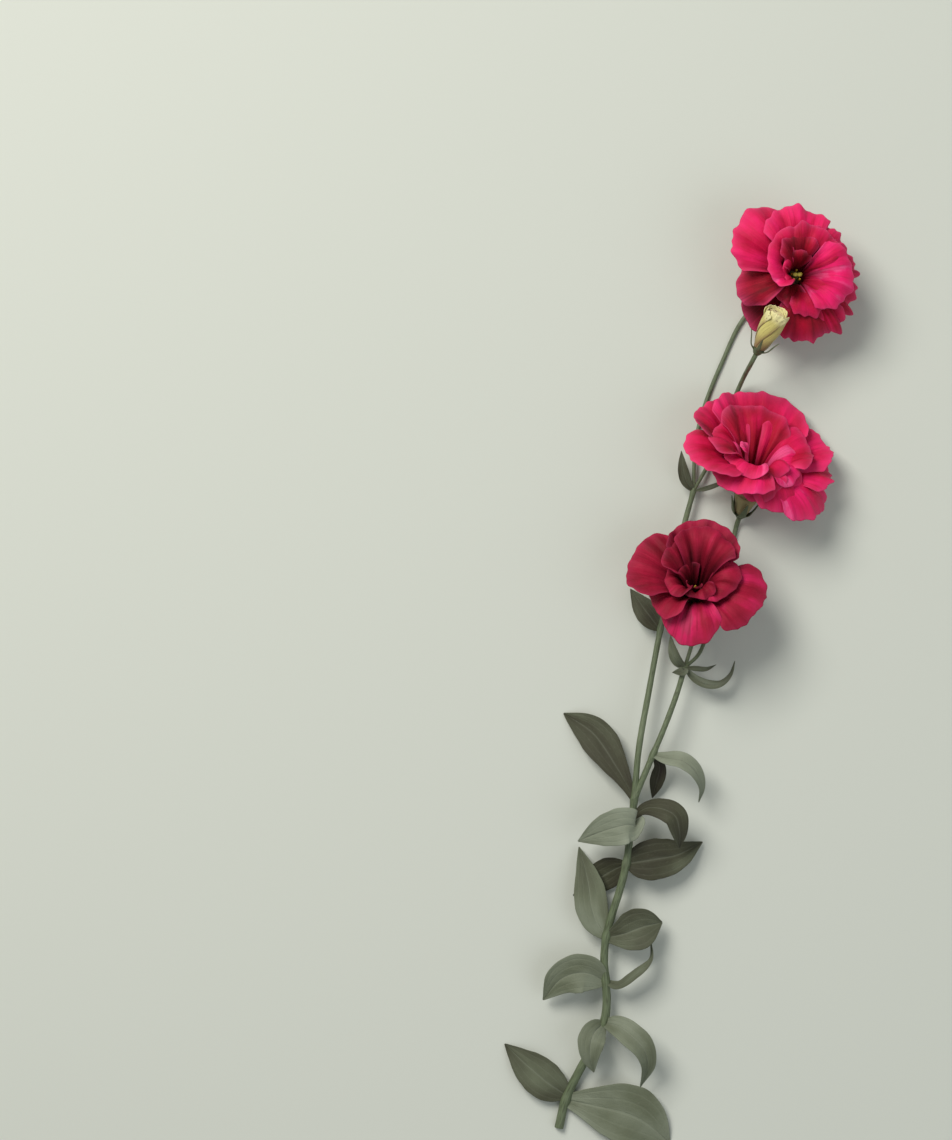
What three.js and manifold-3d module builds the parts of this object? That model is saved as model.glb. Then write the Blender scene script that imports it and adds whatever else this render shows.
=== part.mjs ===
// A cut lisianthus stem lying on a level surface: one branching stem with paired leaves, three open
// double blooms and a furled bud. Millimetres, +Z up. X runs across the stem and Y along it, from
// the cut end towards the blooms. Shapes are laid out from the cut end, and the last lines move the
// whole plant so that the origin is the middle of its footprint.
import * as THREE from "three";
import Module from "manifold-3d";

const wasm = await Module();
wasm.setup();

// ---------- driving dimensions ----------
const BLADE = 0.7; // thickness of petals, sepals and leaves
const GAP = 0.3; // clearance between neighbouring pieces
const STEM_R_CUT = 2.4; // main stem radius at the cut end
const STEM_R_FORK = 1.9; // main stem radius at the fork
const BRANCH_R_FORK = 1.7; // radius of the two branches at the fork
const BRANCH_R = 1.4; // radius of the branches where the stalks leave them
const STALK_R = 0.95; // radius of a flower stalk
const STALK_R_TOP = 1.3; // radius where a stalk meets its calyx
const NODE_SWELL = 1.35; // how much a node is thicker than its stem
const CALYX_DEPTH = 3.7; // height of the calyx cup under the petals
const CALYX_R = 3.1; // radius of the calyx rim
const TUBE_FLOOR = 5.4; // where the hollow of the corolla tube begins
const TUBE_RIM = 15; // height of the tube that the petals grow out of
const CLAW = 0.55; // share of a petal's full spread at its root
const SPREAD_BY = 0.6; // share of a petal's length where it reaches its full spread
const SEPAL_TAPER = 0.85; // share of its width that a sepal has lost at its tip
const STIGMA_HEIGHT = 18; // height of the stigma above the petals' seat
const SMOOTH = 0.3; // flats smaller than this are joined after a fusion
const NUDGE = 0.01; // a small share of a surface's length, for reading its slope

// ---------- materials ----------
const finish = (color, roughness) => new THREE.MeshStandardMaterial({ color, roughness, metalness: 0 });
const GREEN_STEM = finish(0x7a8560, 0.6);
const GREEN_LEAF = finish(0x6b7064, 0.7);
const GREEN_CALYX = finish(0x5c6647, 0.65);
const PETAL_PINK = finish(0xe11e64, 0.6);
const PETAL_CRIMSON = finish(0xa82038, 0.6);
const BUD_CREAM = finish(0xd9c98a, 0.6);
const HEART_GOLD = finish(0xc8b83a, 0.7);

// ---------- small helpers ----------
const vec = ([x, y, z]) => new THREE.Vector3(x, y, z);
const rad = (degrees) => (degrees * Math.PI) / 180;
const clamp01 = (x) => Math.min(1, Math.max(0, x));
const mix = (a, b, t) => a + (b - a) * t;
const bezier = (a, b, c, d, t) => {
  const s = 1 - t;
  return s * s * s * a + 3 * s * s * t * b + 3 * s * t * t * c + t * t * t * d;
};
const curveThrough = (points) => new THREE.CatmullRomCurve3(points.map(vec), false, "centripetal");

// A closed triangle mesh from a list of points and a list of corner indices.
function closedMesh(points, corners) {
  const vertProperties = new Float32Array(points.flatMap((p) => [p.x, p.y, p.z]));
  const triVerts = new Uint32Array(corners);
  return new wasm.Manifold(new wasm.Mesh({ numProp: 3, vertProperties, triVerts }));
}

// The solid with the most material in it, so that loose crumbs and sealed hollows are dropped.
function mainBody(solid) {
  return solid.decompose().reduce((best, s) => (s.volume() > best.volume() ? s : best));
}

const fuse = (solids) => mainBody(wasm.Manifold.union(solids).simplify(SMOOTH));

function geometryOf(solid) {
  const mesh = solid.getMesh();
  const geometry = new THREE.BufferGeometry();
  const position = new Float32Array(mesh.vertProperties);
  geometry.setAttribute("position", new THREE.BufferAttribute(position, 3));
  geometry.setIndex(new THREE.BufferAttribute(new Uint32Array(mesh.triVerts), 1));
  return geometry;
}

// A three.js geometry as a solid, with its coincident points made one.
function solidOf(geometry, matrix = new THREE.Matrix4()) {
  const seen = new Map();
  const points = [];
  const at = geometry.getAttribute("position");
  const index = geometry.index ? [...geometry.index.array] : [...Array(at.count).keys()];
  const merged = index.map((i) => {
    const p = new THREE.Vector3().fromBufferAttribute(at, i);
    const key = p.toArray().map((x) => Math.round(x * 1e4)).join();
    if (!seen.has(key)) seen.set(key, points.push(p.applyMatrix4(matrix)) - 1);
    return seen.get(key);
  });
  const corners = [];
  for (let i = 0; i < merged.length; i += 3) {
    const [a, b, c] = merged.slice(i, i + 3);
    if (a !== b && b !== c && c !== a) corners.push(a, b, c);
  }
  return closedMesh(points, corners);
}

// ---------- blades: petals, sepals, leaves ----------
// surface(u, v) gives the middle of the blade, u from -1 to 1 across it and v from 0 to 1 along it.
// Both faces are split into triangles alike, so a waved blade never crosses itself.
function blade(surface, across, along, thickness = BLADE) {
  const faces = [];
  for (const side of [0.5, -0.5]) {
    for (let j = 0; j <= along; j++) {
      for (let i = 0; i <= across; i++) {
        const u = -1 + (2 * i) / across;
        const v = j / along;
        const du = surface(u + NUDGE, v).sub(surface(u - NUDGE, v));
        const dv = surface(u, v + NUDGE).sub(surface(u, v - NUDGE));
        const normal = du.cross(dv).normalize();
        faces.push(surface(u, v).addScaledVector(normal, side * thickness));
      }
    }
  }
  const row = across + 1;
  const under = row * (along + 1);
  const corners = [];
  const quad = (a, b, c, d) => corners.push(a, b, c, a, c, d);
  for (let j = 0; j < along; j++) {
    for (let i = 0; i < across; i++) {
      const a = j * row + i;
      quad(a, a + 1, a + row + 1, a + row);
      corners.push(under + a, under + a + row + 1, under + a + 1);
      corners.push(under + a, under + a + row, under + a + row + 1);
    }
  }
  for (let i = 0; i < across; i++) {
    const end = along * row + i;
    quad(under + i, under + i + 1, i + 1, i);
    quad(end, end + 1, under + end + 1, under + end);
  }
  for (let j = 0; j < along; j++) {
    const left = j * row;
    const right = left + across;
    quad(left, left + row, under + left + row, under + left);
    quad(under + right, under + right + row, right + row, right);
  }
  return closedMesh(faces, corners);
}

// ---------- stems ----------
// A round stem along a smooth route, its radius running from r0 to r1.
function stem(route, r0, r1, sides, steps) {
  const curve = curveThrough(route);
  const { normals, binormals } = curve.computeFrenetFrames(steps, false);
  const points = [];
  const corners = [];
  for (let j = 0; j <= steps; j++) {
    const centre = curve.getPointAt(j / steps);
    const r = mix(r0, r1, j / steps);
    for (let i = 0; i < sides; i++) {
      const angle = (2 * Math.PI * i) / sides;
      const out = normals[j].clone().multiplyScalar(Math.cos(angle));
      out.addScaledVector(binormals[j], Math.sin(angle));
      points.push(centre.clone().addScaledVector(out, r));
    }
  }
  const first = points.push(curve.getPointAt(0)) - 1;
  const last = points.push(curve.getPointAt(1)) - 1;
  for (let i = 0; i < sides; i++) {
    const next = (i + 1) % sides;
    for (let j = 0; j < steps; j++) {
      const a = j * sides;
      corners.push(a + i, a + next, a + sides + next, a + i, a + sides + next, a + sides + i);
    }
    corners.push(first, next, i, last, steps * sides + i, steps * sides + next);
  }
  return closedMesh(points, corners);
}

function swelling(place, radius) {
  const ball = new THREE.IcosahedronGeometry(radius, 0);
  return solidOf(ball, new THREE.Matrix4().makeTranslation(...place));
}

// ---------- blooms ----------
// A bloom stands on `seat`, faces along `facing`, and its azimuths run from +X towards +Y.
function bloomFrame({ seat, facing }) {
  const axis = vec(facing).normalize();
  const right = new THREE.Vector3(1, 0, 0).addScaledVector(axis, -axis.x).normalize();
  const up = axis.clone().cross(right);
  return { origin: vec(seat), axis, right, up };
}

function inFrame(frame, r, azimuth, h) {
  const p = frame.origin.clone().addScaledVector(frame.axis, h);
  p.addScaledVector(frame.right, r * Math.cos(azimuth));
  return p.addScaledVector(frame.up, r * Math.sin(azimuth));
}

const frameMatrix = (f) => new THREE.Matrix4().makeBasis(f.right, f.up, f.axis).setPosition(f.origin);

// Three kinds of petal, told apart by how far they reach and how high they stand. `root` is the
// radius where a petal leaves the wall of the corolla tube.
const WHORL = {
  outer: { root: 4.3, top: 26, cup: 1.5, twist: 3.2, ruffle: 2, waves: 2, across: 4, along: 4 },
  middle: { root: 3.9, top: 30, cup: 1.2, twist: 2.2, ruffle: 1.6, waves: 2, across: 4, along: 3 },
  inner: { root: 3.6, top: 26, cup: 0.6, twist: 0.9, ruffle: 0.8, waves: 1.5, across: 3, along: 3 },
};
const ROOT_HEIGHT = 6; // height of the petals' roots in the tube's wall
const RIB_THROAT = { out: 0.05, up: 0.62 }; // a midrib's lower control point, as shares of reach and top
const RIB_BEND = { from: 1.5, out: 0.42, up: 1.18 }; // its upper one, where it turns outwards
const RUFFLE_GROWTH = 2.5; // power by which the waves grow towards the rim
const RUFFLE_RIB = 0.35; // share of the waves that reaches the midrib

// A petal at azimuth `az`, `half` degrees to either side, whose rim is at radius `reach`, height `rim`.
// `lean` lengthens one of its sides by that share and shortens the other.
const petal = (whorl) => (az, half, reach, rim, more) => ({
  ...WHORL[whorl], az, half, reach, rim, phase: az / 40, corner: 0.2, lean: 0, ...more,
});
const outer = petal("outer");
const middle = petal("middle");
const inner = petal("inner");

// The middle surface of one petal. Its midrib is a cubic curve from the seat up the throat and out
// to the rim; the sides follow an arc round the bloom's axis; waves grow towards the margin.
function petalSurface(frame, p) {
  const rib = (s, reach) => [
    bezier(p.root, p.root + RIB_THROAT.out * reach, RIB_BEND.from + RIB_BEND.out * reach, reach, s),
    bezier(ROOT_HEIGHT, RIB_THROAT.up * p.top, RIB_BEND.up * p.top, p.rim, s),
  ];
  return (u, v) => {
    const reach = p.reach * (1 + p.lean * u);
    const s = v * (1 - p.corner * Math.abs(u) ** 3);
    const [r, h] = rib(s, reach);
    const [r1, h1] = rib(s + NUDGE, reach);
    const length = Math.hypot(r1 - r, h1 - h);
    const open = CLAW + (1 - CLAW) * Math.sin((Math.PI / 2) * clamp01(s / SPREAD_BY));
    const grow = Math.max(s, 0) ** RUFFLE_GROWTH;
    const wave = Math.sin(Math.PI * p.waves * u + p.phase) * mix(RUFFLE_RIB, 1, Math.abs(u));
    const lift = p.cup * u * u * s + p.twist * u * s + p.ruffle * grow * wave;
    const azimuth = rad(p.az) + u * rad(p.half) * open;
    const height = h + (lift * (r1 - r)) / length;
    const radius = r - (lift * (h1 - h)) / length;
    const place = inFrame(frame, radius, azimuth, height);
    place.z = Math.max(place.z, BLADE / 2);
    return place;
  };
}

// Points (radius, height) turned round the bloom's axis.
function turned(frame, outline, sides) {
  const profile = outline.map(([r, h]) => new THREE.Vector2(r, h));
  const upright = new THREE.Matrix4().makeRotationX(Math.PI / 2);
  return solidOf(new THREE.LatheGeometry(profile, sides), frameMatrix(frame).multiply(upright));
}

// The petals and the tube that they grow together into at the base.
function corolla(bloom) {
  const frame = bloomFrame(bloom);
  const wall = [[0, GAP], [CALYX_R, GAP], [4.8, ROOT_HEIGHT], [6.4, 12], [6, TUBE_RIM]];
  const hollow = [[4, 12], [3.3, TUBE_FLOOR], [0, TUBE_FLOOR]];
  const solids = [turned(frame, [...wall, ...hollow], 10)];
  for (const p of bloom.petals) solids.push(blade(petalSurface(frame, p), p.across, p.along));
  return fuse(solids);
}

// A narrow pointed sepal along (radius, height) points, at one azimuth.
function sepal(frame, azimuth, route, half) {
  const curve = new THREE.SplineCurve(route.map(([r, h]) => new THREE.Vector2(r, h)));
  return blade((u, v) => {
    const at = curve.getPoint(clamp01(v));
    const side = u * half * (1 - SEPAL_TAPER * v * v);
    const p = inFrame(frame, at.x, azimuth, at.y + (v > 1 ? v - 1 : Math.min(v, 0)));
    const tangent = azimuth + Math.PI / 2;
    p.addScaledVector(frame.right, side * Math.cos(tangent));
    return p.addScaledVector(frame.up, side * Math.sin(tangent));
  }, 1, 3);
}

const SEPAL_BLOOM = [[1.8, -1.6], [4.8, 0.8], [6.6, 4.6], [8, 8.4], [9.4, 12]];
const SEPAL_OPEN = [[1.8, -1.6], [4.8, 0.6], [7.2, 3], [9.8, 5.2], [12.4, 7.2]];
const SEPAL_BUD = [[1.8, -1.6], [4.9, 0.4], [6.6, 3.2], [7.8, 5.8], [9, 8.2]];

function calyx(bloom) {
  const frame = bloomFrame(bloom);
  const cup = [[0, -CALYX_DEPTH], [1.5, -CALYX_DEPTH], [CALYX_R, 0], [0, 0]];
  const solids = [turned(frame, cup, 6)];
  for (let k = 0; k < 5; k++) {
    const azimuth = rad(bloom.sepalTurn + 72 * k);
    solids.push(sepal(frame, azimuth, bloom.sepalRoute, bloom.sepalHalf));
  }
  return fuse(solids);
}

// Ovary, style, two-lobed stigma and five stamens.
function heart(bloom) {
  const frame = bloomFrame(bloom);
  const base = TUBE_FLOOR + GAP;
  const style = [[0.7, base + 7.5], [0.7, STIGMA_HEIGHT], [0, STIGMA_HEIGHT]];
  const ovary = [[0, base], [1.8, base], [2, base + 3], ...style];
  const solids = [turned(frame, ovary, 5)];
  for (const side of [-1.1, 1.1]) {
    const lobe = new THREE.IcosahedronGeometry(1.5, 0).scale(1, 0.75, 0.6);
    const place = new THREE.Matrix4().makeTranslation(side, 0, STIGMA_HEIGHT);
    solids.push(solidOf(lobe, frameMatrix(frame).multiply(place)));
  }
  for (let k = 0; k < 5; k++) {
    const azimuth = rad(20 + 72 * k);
    const stamen = [[1.3, base + 0.6], [2.1, base + 4], [2.6, base + 11]];
    const route = stamen.map(([r, h]) => inFrame(frame, r, azimuth, h).toArray());
    solids.push(stem(route, 0.4, 0.7, 3, 2));
  }
  return fuse(solids);
}

const BLOOM_LOW = {
  name: "bloom_low",
  seat: [73.3, 276.6, 16],
  facing: [-0.05, 0.57, 0.82],
  sepalTurn: 20,
  sepalRoute: SEPAL_BLOOM,
  sepalHalf: 2,
  finish: PETAL_CRIMSON,
  petals: [
    outer(78, 58, 31, 38, { waves: 1.5, ruffle: 1.4 }),
    outer(162, 48, 37.5, 29, { waves: 1 }),
    outer(210, 40, 28, 20, { waves: 1 }),
    outer(260, 44, 31, 12, { waves: 1.5 }),
    outer(338, 42, 38, 16, { waves: 1.5 }),
    middle(70, 56, 25, 39, { top: 34, waves: 1.5 }),
    middle(146, 46, 20, 36, { lean: -0.15, waves: 1.5 }),
    middle(206, 50, 17, 29, { lean: -0.1, waves: 2.5 }),
    middle(276, 54, 14, 28, { waves: 2.5 }),
    middle(338, 48, 22, 25, { lean: 0.15, waves: 2.5 }),
    inner(128, 56, 10, 29, { waves: 2 }),
    inner(250, 60, 7, 24),
  ],
};

const BLOOM_SIDE = {
  name: "bloom_side",
  seat: [97.8, 326.6, 7.5],
  facing: [0.2, 0.74, 0.64],
  sepalTurn: -18,
  sepalRoute: SEPAL_BLOOM,
  sepalHalf: 2,
  finish: PETAL_PINK,
  petals: [
    outer(88, 52, 45, 49, { top: 33, waves: 1.5 }),
    outer(132, 48, 42, 46, { top: 35, waves: 1.5 }),
    outer(190, 50, 40, 38, { top: 40, waves: 1.5 }),
    outer(238, 44, 28, 30, { top: 43 }),
    outer(272, 48, 23, 25, { top: 42 }),
    outer(308, 46, 28, 21, { top: 40 }),
    outer(350, 46, 41, 17, { top: 38, waves: 1.5 }),
    outer(20, 38, 46, 30, { top: 34, waves: 3 }),
    outer(48, 46, 47, 40, { top: 32, waves: 2.5 }),
    middle(100, 60, 31, 49, { top: 38, waves: 1.5 }),
    middle(160, 54, 29, 44, { top: 42, waves: 1.5 }),
    middle(218, 58, 22, 39, { top: 44, waves: 2.5 }),
    middle(280, 60, 17, 35, { top: 44, waves: 2.5 }),
    middle(346, 50, 24, 33, { top: 40, waves: 2 }),
    middle(36, 50, 31, 42, { top: 38, waves: 1.5 }),
    inner(170, 50, 12, 42, { top: 38 }),
  ],
};

const BLOOM_TOP = {
  name: "bloom_top",
  seat: [123, 448, 14],
  facing: [0.1, 0.05, 0.99],
  sepalTurn: 5,
  sepalRoute: SEPAL_OPEN,
  sepalHalf: 2,
  finish: PETAL_PINK,
  petals: [
    outer(137, 42, 43, 18, { waves: 1.5 }),
    outer(96, 38, 36, 21, { waves: 2.5 }),
    outer(46, 38, 32, 20, { waves: 2.5 }),
    outer(6, 38, 33.5, 16, { waves: 3 }),
    outer(322, 38, 36, 13, { waves: 3 }),
    outer(282, 42, 37.5, 10, { waves: 2.5, top: 23 }),
    outer(232, 44, 33, 1, { top: 16, waves: 1.5 }),
    outer(182, 42, 31, 9, { waves: 1.5 }),
    middle(160, 70, 22, 32, { lean: -0.32, waves: 2.5 }),
    middle(240, 50, 19, 17, { top: 22 }),
    middle(300, 48, 26, 20, { top: 27, waves: 2.5 }),
    middle(352, 60, 29, 25, { waves: 3 }),
    middle(60, 52, 27, 28, { waves: 2.5 }),
    middle(100, 46, 21, 31, { waves: 2.5 }),
    inner(110, 60, 12, 28),
    inner(176, 56, 11, 29, { waves: 2 }),
  ],
};

const BUD = {
  name: "bud",
  seat: [105, 410.8, 33],
  facing: [0.4, 0.8, 0.42],
  sepalTurn: 325,
  sepalRoute: SEPAL_BUD,
  sepalHalf: 1.2,
  length: 26,
  profile: [CALYX_R, 5.8, 9.6, 4.4], // control radii from the calyx to the mouth
  twist: 110,
  folds: 5,
  foldDepth: 0.09,
  foldLean: 0.4, // how far each fold leans over its neighbour
  mouthDepth: 2,
};

// The furled petals: a spindle with five folds wound round it, open a little at the tip.
function furledPetals(bud) {
  const frame = bloomFrame(bud);
  const sides = 20;
  const rings = 7;
  const points = [];
  for (let j = 0; j <= rings; j++) {
    const t = j / rings;
    const body = bezier(...bud.profile, t);
    for (let i = 0; i < sides; i++) {
      const angle = (2 * Math.PI * i) / sides;
      const wind = bud.folds * (angle - rad(bud.twist) * t);
      const fold = 1 + bud.foldDepth * t * (Math.cos(wind) + bud.foldLean * Math.sin(2 * wind));
      points.push(inFrame(frame, body * fold, angle, GAP + bud.length * t));
    }
  }
  const foot = points.push(inFrame(frame, 0, 0, GAP)) - 1;
  const tip = points.push(inFrame(frame, 0, 0, GAP + bud.length - bud.mouthDepth)) - 1;
  const corners = [];
  for (let i = 0; i < sides; i++) {
    const next = (i + 1) % sides;
    for (let j = 0; j < rings; j++) {
      const a = j * sides;
      corners.push(a + i, a + next, a + sides + next, a + i, a + sides + next, a + sides + i);
    }
    corners.push(foot, next, i, tip, rings * sides + i, rings * sides + next);
  }
  return closedMesh(points, corners);
}

// Where a flower stalk ends, just under its calyx, and the point before it.
function stalkEnd(bloom) {
  const frame = bloomFrame(bloom);
  const below = (h) => inFrame(frame, 0, 0, -h).toArray();
  return [below(CALYX_DEPTH + GAP + 5), below(CALYX_DEPTH + GAP)];
}

// ---------- the stem's routes ----------
const FORK = [41.5, 177, 14.5];
const NODE_RIGHT = [68, 245.5, 13];
const NODE_LEFT = [73, 338, 6];
const NODE_FOOT = [6, 18, 2.1];
const NODE_LOW = [26, 59, 7];
const NODE_STRIP = [26.8, 81, 8.3];
const NODE_BROAD = [27, 104, 9.8];
const NODE_DARK = [37.4, 143, 12.8];
const NODE_FRONT = [40.2, 166, 14.2];
const NODE_BRANCH = [51.2, 200, 15];
const NODE_STALK = [55.4, 265, 8.8];
const MAIN = [
  [2.5, 3, 1.7], NODE_FOOT, [12.5, 32, 3.6], [20, 46, 5.4], NODE_LOW, [27.4, 70, 7.8], NODE_STRIP,
  [26, 92.5, 9], NODE_BROAD, [30, 116, 10.8], [34.3, 130, 11.9], NODE_DARK, NODE_FRONT, FORK,
];
const BRANCH_LEFT = [
  FORK, [44, 203.5, 13.5], [49.5, 234, 11.3], NODE_STALK, [60, 287, 7.2], [66.5, 314, 6.2], NODE_LEFT,
];
const BRANCH_RIGHT = [FORK, NODE_BRANCH, [57.5, 215, 14.6], [63.5, 231, 13.8], NODE_RIGHT];
const STALK_LOW = [NODE_RIGHT, [71.5, 256, 9], [74, 264.5, 7.5]];
const STALK_SIDE = [NODE_RIGHT, [76, 253, 8.5], [82, 270.5, 5], [88, 291, 2.6], [93, 307, 1.4]];
const STALK_TOP = [
  NODE_LEFT, [74.4, 364, 2.6], [79.6, 383.8, 1.2], [88.4, 405.6, 0.9], [99, 427.5, 0.9], [112, 441, 1.1],
];
const STALK_BUD = [NODE_LEFT, [81, 352, 2.6], [89, 372, 1.8], [95.3, 388, 3], [98.8, 397, 12]];

// Every length of stem: its route, its radius at each end, its sides and the steps along it.
const branch = (route, steps) => ({ route, from: BRANCH_R_FORK, to: BRANCH_R, sides: 5, steps });
const stalk = (route, bloom, steps) => ({
  route: [...route, ...stalkEnd(bloom)], from: STALK_R, to: STALK_R_TOP, sides: 4, steps,
});
const LENGTHS = [
  { route: MAIN, from: STEM_R_CUT, to: STEM_R_FORK, sides: 7, steps: 18 },
  branch(BRANCH_LEFT, 9),
  branch(BRANCH_RIGHT, 6),
  stalk(STALK_LOW, BLOOM_LOW, 7),
  stalk(STALK_SIDE, BLOOM_SIDE, 9),
  stalk(STALK_TOP, BLOOM_TOP, 13),
  stalk(STALK_BUD, BUD, 11),
];

// All that is stem. With `spare` it is that much thicker, for fitting the leaf bases round it.
function stems(spare) {
  return [
    ...LENGTHS.map((s) => stem(s.route, s.from + spare, s.to + spare, s.sides, s.steps)),
    swelling(FORK, STEM_R_FORK * NODE_SWELL + spare),
    ...[NODE_RIGHT, NODE_LEFT].map((node) => swelling(node, BRANCH_R * NODE_SWELL + spare)),
  ];
}

// The underside is level where the stem lies on the surface.
const mainStem = () => fuse([wasm.Manifold.union(stems(0)).trimByPlane([0, 0, 1], 0)]);
const stemClearance = wasm.Manifold.union(stems(GAP));

// ---------- leaves ----------
// Each leaf follows its midrib from the middle of the stem; `half` is its greatest half width, `face`
// the way its upper side looks at the base and `faceTip` at the tip; `fold` raises its sides, `wave`
// ripples its margin and a larger `skew` puts its broadest place nearer the tip.
const LEAVES = [
  {
    name: "leaf_foot_right", rib: [NODE_FOOT, [22, 15, 5.5], [43, 9, 5.5], [61, -5, 0.35]],
    half: 16, skew: 1.2,
  },
  { name: "leaf_foot_left", rib: [[7, 20, 2.3], [-3, 27, 5], [-15, 37, 4], [-26, 47, 0.35]], half: 10 },
  {
    name: "leaf_low_arch",
    rib: [NODE_LOW, [33, 58.5, 15.5], [39.5, 54.5, 20.5], [45.5, 48.5, 21.5], [48.4, 39.5, 19], [44.8, 26, 11]],
    half: 6.5, face: [-0.4, 0.4, 0.8], faceTip: [0.6, 0.1, 0.8],
  },
  {
    name: "leaf_low_front", rib: [NODE_LOW, [21, 55, 13.5], [19, 51, 16.5], [18.5, 43, 17], [20.5, 34, 13]],
    half: 7,
  },
  {
    name: "leaf_strip",
    rib: [NODE_STRIP, [33, 79, 11], [42, 85, 13], [50.5, 93, 12.5], [50.5, 102, 8]],
    half: 4, face: [-0.5, 0.85, 0.3], faceTip: [-0.9, -0.2, 0.35],
  },
  { name: "leaf_pale", rib: [NODE_STRIP, [15, 86, 13], [4, 83, 12.5], [-6, 71, 7]], half: 10 },
  {
    name: "leaf_broad", rib: [NODE_BROAD, [35, 106, 13], [46, 110, 13.5], [56.5, 112, 9.5]],
    half: 11, skew: 1.2,
  },
  { name: "leaf_ribbed", rib: [NODE_BROAD, [20.5, 116, 10], [17.5, 134, 7.5], [13, 151, 3]], half: 8.5 },
  {
    name: "leaf_dark_right", rib: [NODE_DARK, [50, 145, 13], [65, 147.5, 9], [78, 153.5, 3]],
    half: 10.5, skew: 0.7,
  },
  { name: "leaf_dark_left", rib: [NODE_DARK, [29, 138, 5], [19, 131, 1.4], [10, 125, 0.35]], half: 8 },
  {
    name: "leaf_fork_front",
    rib: [NODE_FRONT, [42, 163.5, 19.5], [37.5, 164, 23], [24.5, 160.5, 22], [12, 155, 16]],
    half: 9.5,
  },
  {
    name: "leaf_fork_arch",
    rib: [NODE_FRONT, [46.5, 172, 18], [55, 172.5, 23], [62, 169, 25], [64.5, 160.5, 23], [65, 151.5, 18]],
    half: 6.5, skew: 1.3, face: [-0.4, 0.4, 0.8], faceTip: [0.4, 0.2, 0.9],
  },
  {
    name: "leaf_fork_left", rib: [FORK, [32, 194, 10], [20, 211, 5], [5, 221, 0.35]],
    half: 9.5, skew: 1.4,
  },
  {
    name: "leaf_branch_arch",
    rib: [NODE_BRANCH, [58, 198.5, 18.5], [66, 197.5, 22], [73, 192, 21.5], [76.5, 183.5, 18], [75.2, 175, 13]],
    half: 4.8, face: [-0.2, 0.6, 0.8], faceTip: [0.7, 0.2, 0.7],
  },
  {
    name: "leaf_branch_hang", rib: [NODE_BRANCH, [55, 193.5, 10], [53.7, 185.5, 6], [51.5, 176.5, 3]],
    half: 4, skew: 1.2,
  },
  { name: "leaf_stalk", rib: [NODE_STALK, [50, 272, 8], [45, 279, 5.5], [40, 286.5, 3]], half: 6 },
  {
    name: "bract_low_left",
    rib: [NODE_RIGHT, [63.8, 249, 16], [61.3, 255, 17.5], [60.3, 262.5, 16]], half: 3, face: [-0.4, 0, 0.9],
  },
  { name: "bract_low_front", rib: [NODE_RIGHT, [67, 243.8, 16.5], [61, 243, 17]], half: 2.4 },
  {
    name: "bract_low_right",
    rib: [NODE_RIGHT, [73.5, 245, 15], [79, 244.8, 15.2], [84.5, 247, 13.5]],
    half: 1.4,
  },
  {
    name: "bract_low_curl",
    rib: [
      NODE_RIGHT, [73, 239.8, 12.8], [79.5, 236.8, 12.5], [86.5, 236.8, 12.5], [92, 241.5, 11],
      [94.5, 249, 9],
    ],
    half: 2.6, face: [-0.1, 0.6, 0.8], faceTip: [-0.7, 0.3, 0.6],
  },
  { name: "bract_high_left", rib: [NODE_LEFT, [69, 343, 8.5], [67, 350.5, 10], [66.5, 359, 8]], half: 3 },
  { name: "bract_high_right", rib: [NODE_LEFT, [79, 339, 8], [86.5, 341.5, 8.5], [94, 344, 7]], half: 1.3 },
];

const OUTLINE = { foot: 0.2, belly: 0.93, tip: 0.03 }; // a leaf's width along its length
const RIPPLES = 2.5; // half waves along a leaf's margin, the two sides out of step by 2 radians

function leafSurface(leaf) {
  const spec = { face: [0, 0, 1], fold: 0.12, wave: 0.06, skew: 0.82, ...leaf };
  const curve = curveThrough(spec.rib);
  const faceBase = vec(spec.face).normalize();
  const faceTip = vec(spec.faceTip ?? spec.face).normalize();
  return (u, v) => {
    const t = clamp01(v);
    const tangent = curve.getTangentAt(t);
    const place = curve.getPointAt(t).addScaledVector(tangent, v - t);
    const face = faceBase.clone().lerp(faceTip, t).normalize();
    const side = tangent.clone().cross(face).normalize();
    const normal = side.clone().cross(tangent);
    const belly = OUTLINE.belly * Math.sin(Math.PI * t ** spec.skew);
    const width = spec.half * (OUTLINE.foot * (1 - t) ** 2 + belly + OUTLINE.tip);
    const ripple = spec.wave * Math.sin(RIPPLES * Math.PI * t + (u > 0 ? 0 : 2)) * u * u;
    place.addScaledVector(side, -u * width);
    place.addScaledVector(normal, (spec.fold * Math.abs(u) + ripple) * width);
    place.z = Math.max(place.z, BLADE / 2);
    return place;
  };
}

// Its base is cut to clasp the stem.
function leafSolid(leaf) {
  const broad = leaf.half > 3.5;
  const solid = blade(leafSurface(leaf), broad ? 4 : 2, broad ? 6 : 5);
  return mainBody(solid.subtract(stemClearance).simplify(SMOOTH));
}

// ---------- assembly ----------
const plant = new THREE.Group();

function addNode(name, solid, material) {
  const mesh = new THREE.Mesh(geometryOf(solid), material);
  mesh.name = name;
  plant.add(mesh);
}

addNode("main_stem", mainStem(), GREEN_STEM);
for (const leaf of LEAVES) addNode(leaf.name, leafSolid(leaf), GREEN_LEAF);
for (const bloom of [BLOOM_LOW, BLOOM_SIDE, BLOOM_TOP]) {
  addNode(`${bloom.name}_petals`, corolla(bloom), bloom.finish);
  addNode(`${bloom.name}_calyx`, calyx(bloom), GREEN_CALYX);
  addNode(`${bloom.name}_heart`, heart(bloom), HEART_GOLD);
}
addNode("bud_petals", furledPetals(BUD), BUD_CREAM);
addNode("bud_calyx", calyx(BUD), GREEN_CALYX);

const footprint = new THREE.Box3().setFromObject(plant, true);
const centre = footprint.getCenter(new THREE.Vector3());
plant.position.set(-centre.x, -centre.y, -footprint.min.z);
plant.updateMatrixWorld(true);

export default plant;
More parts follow.
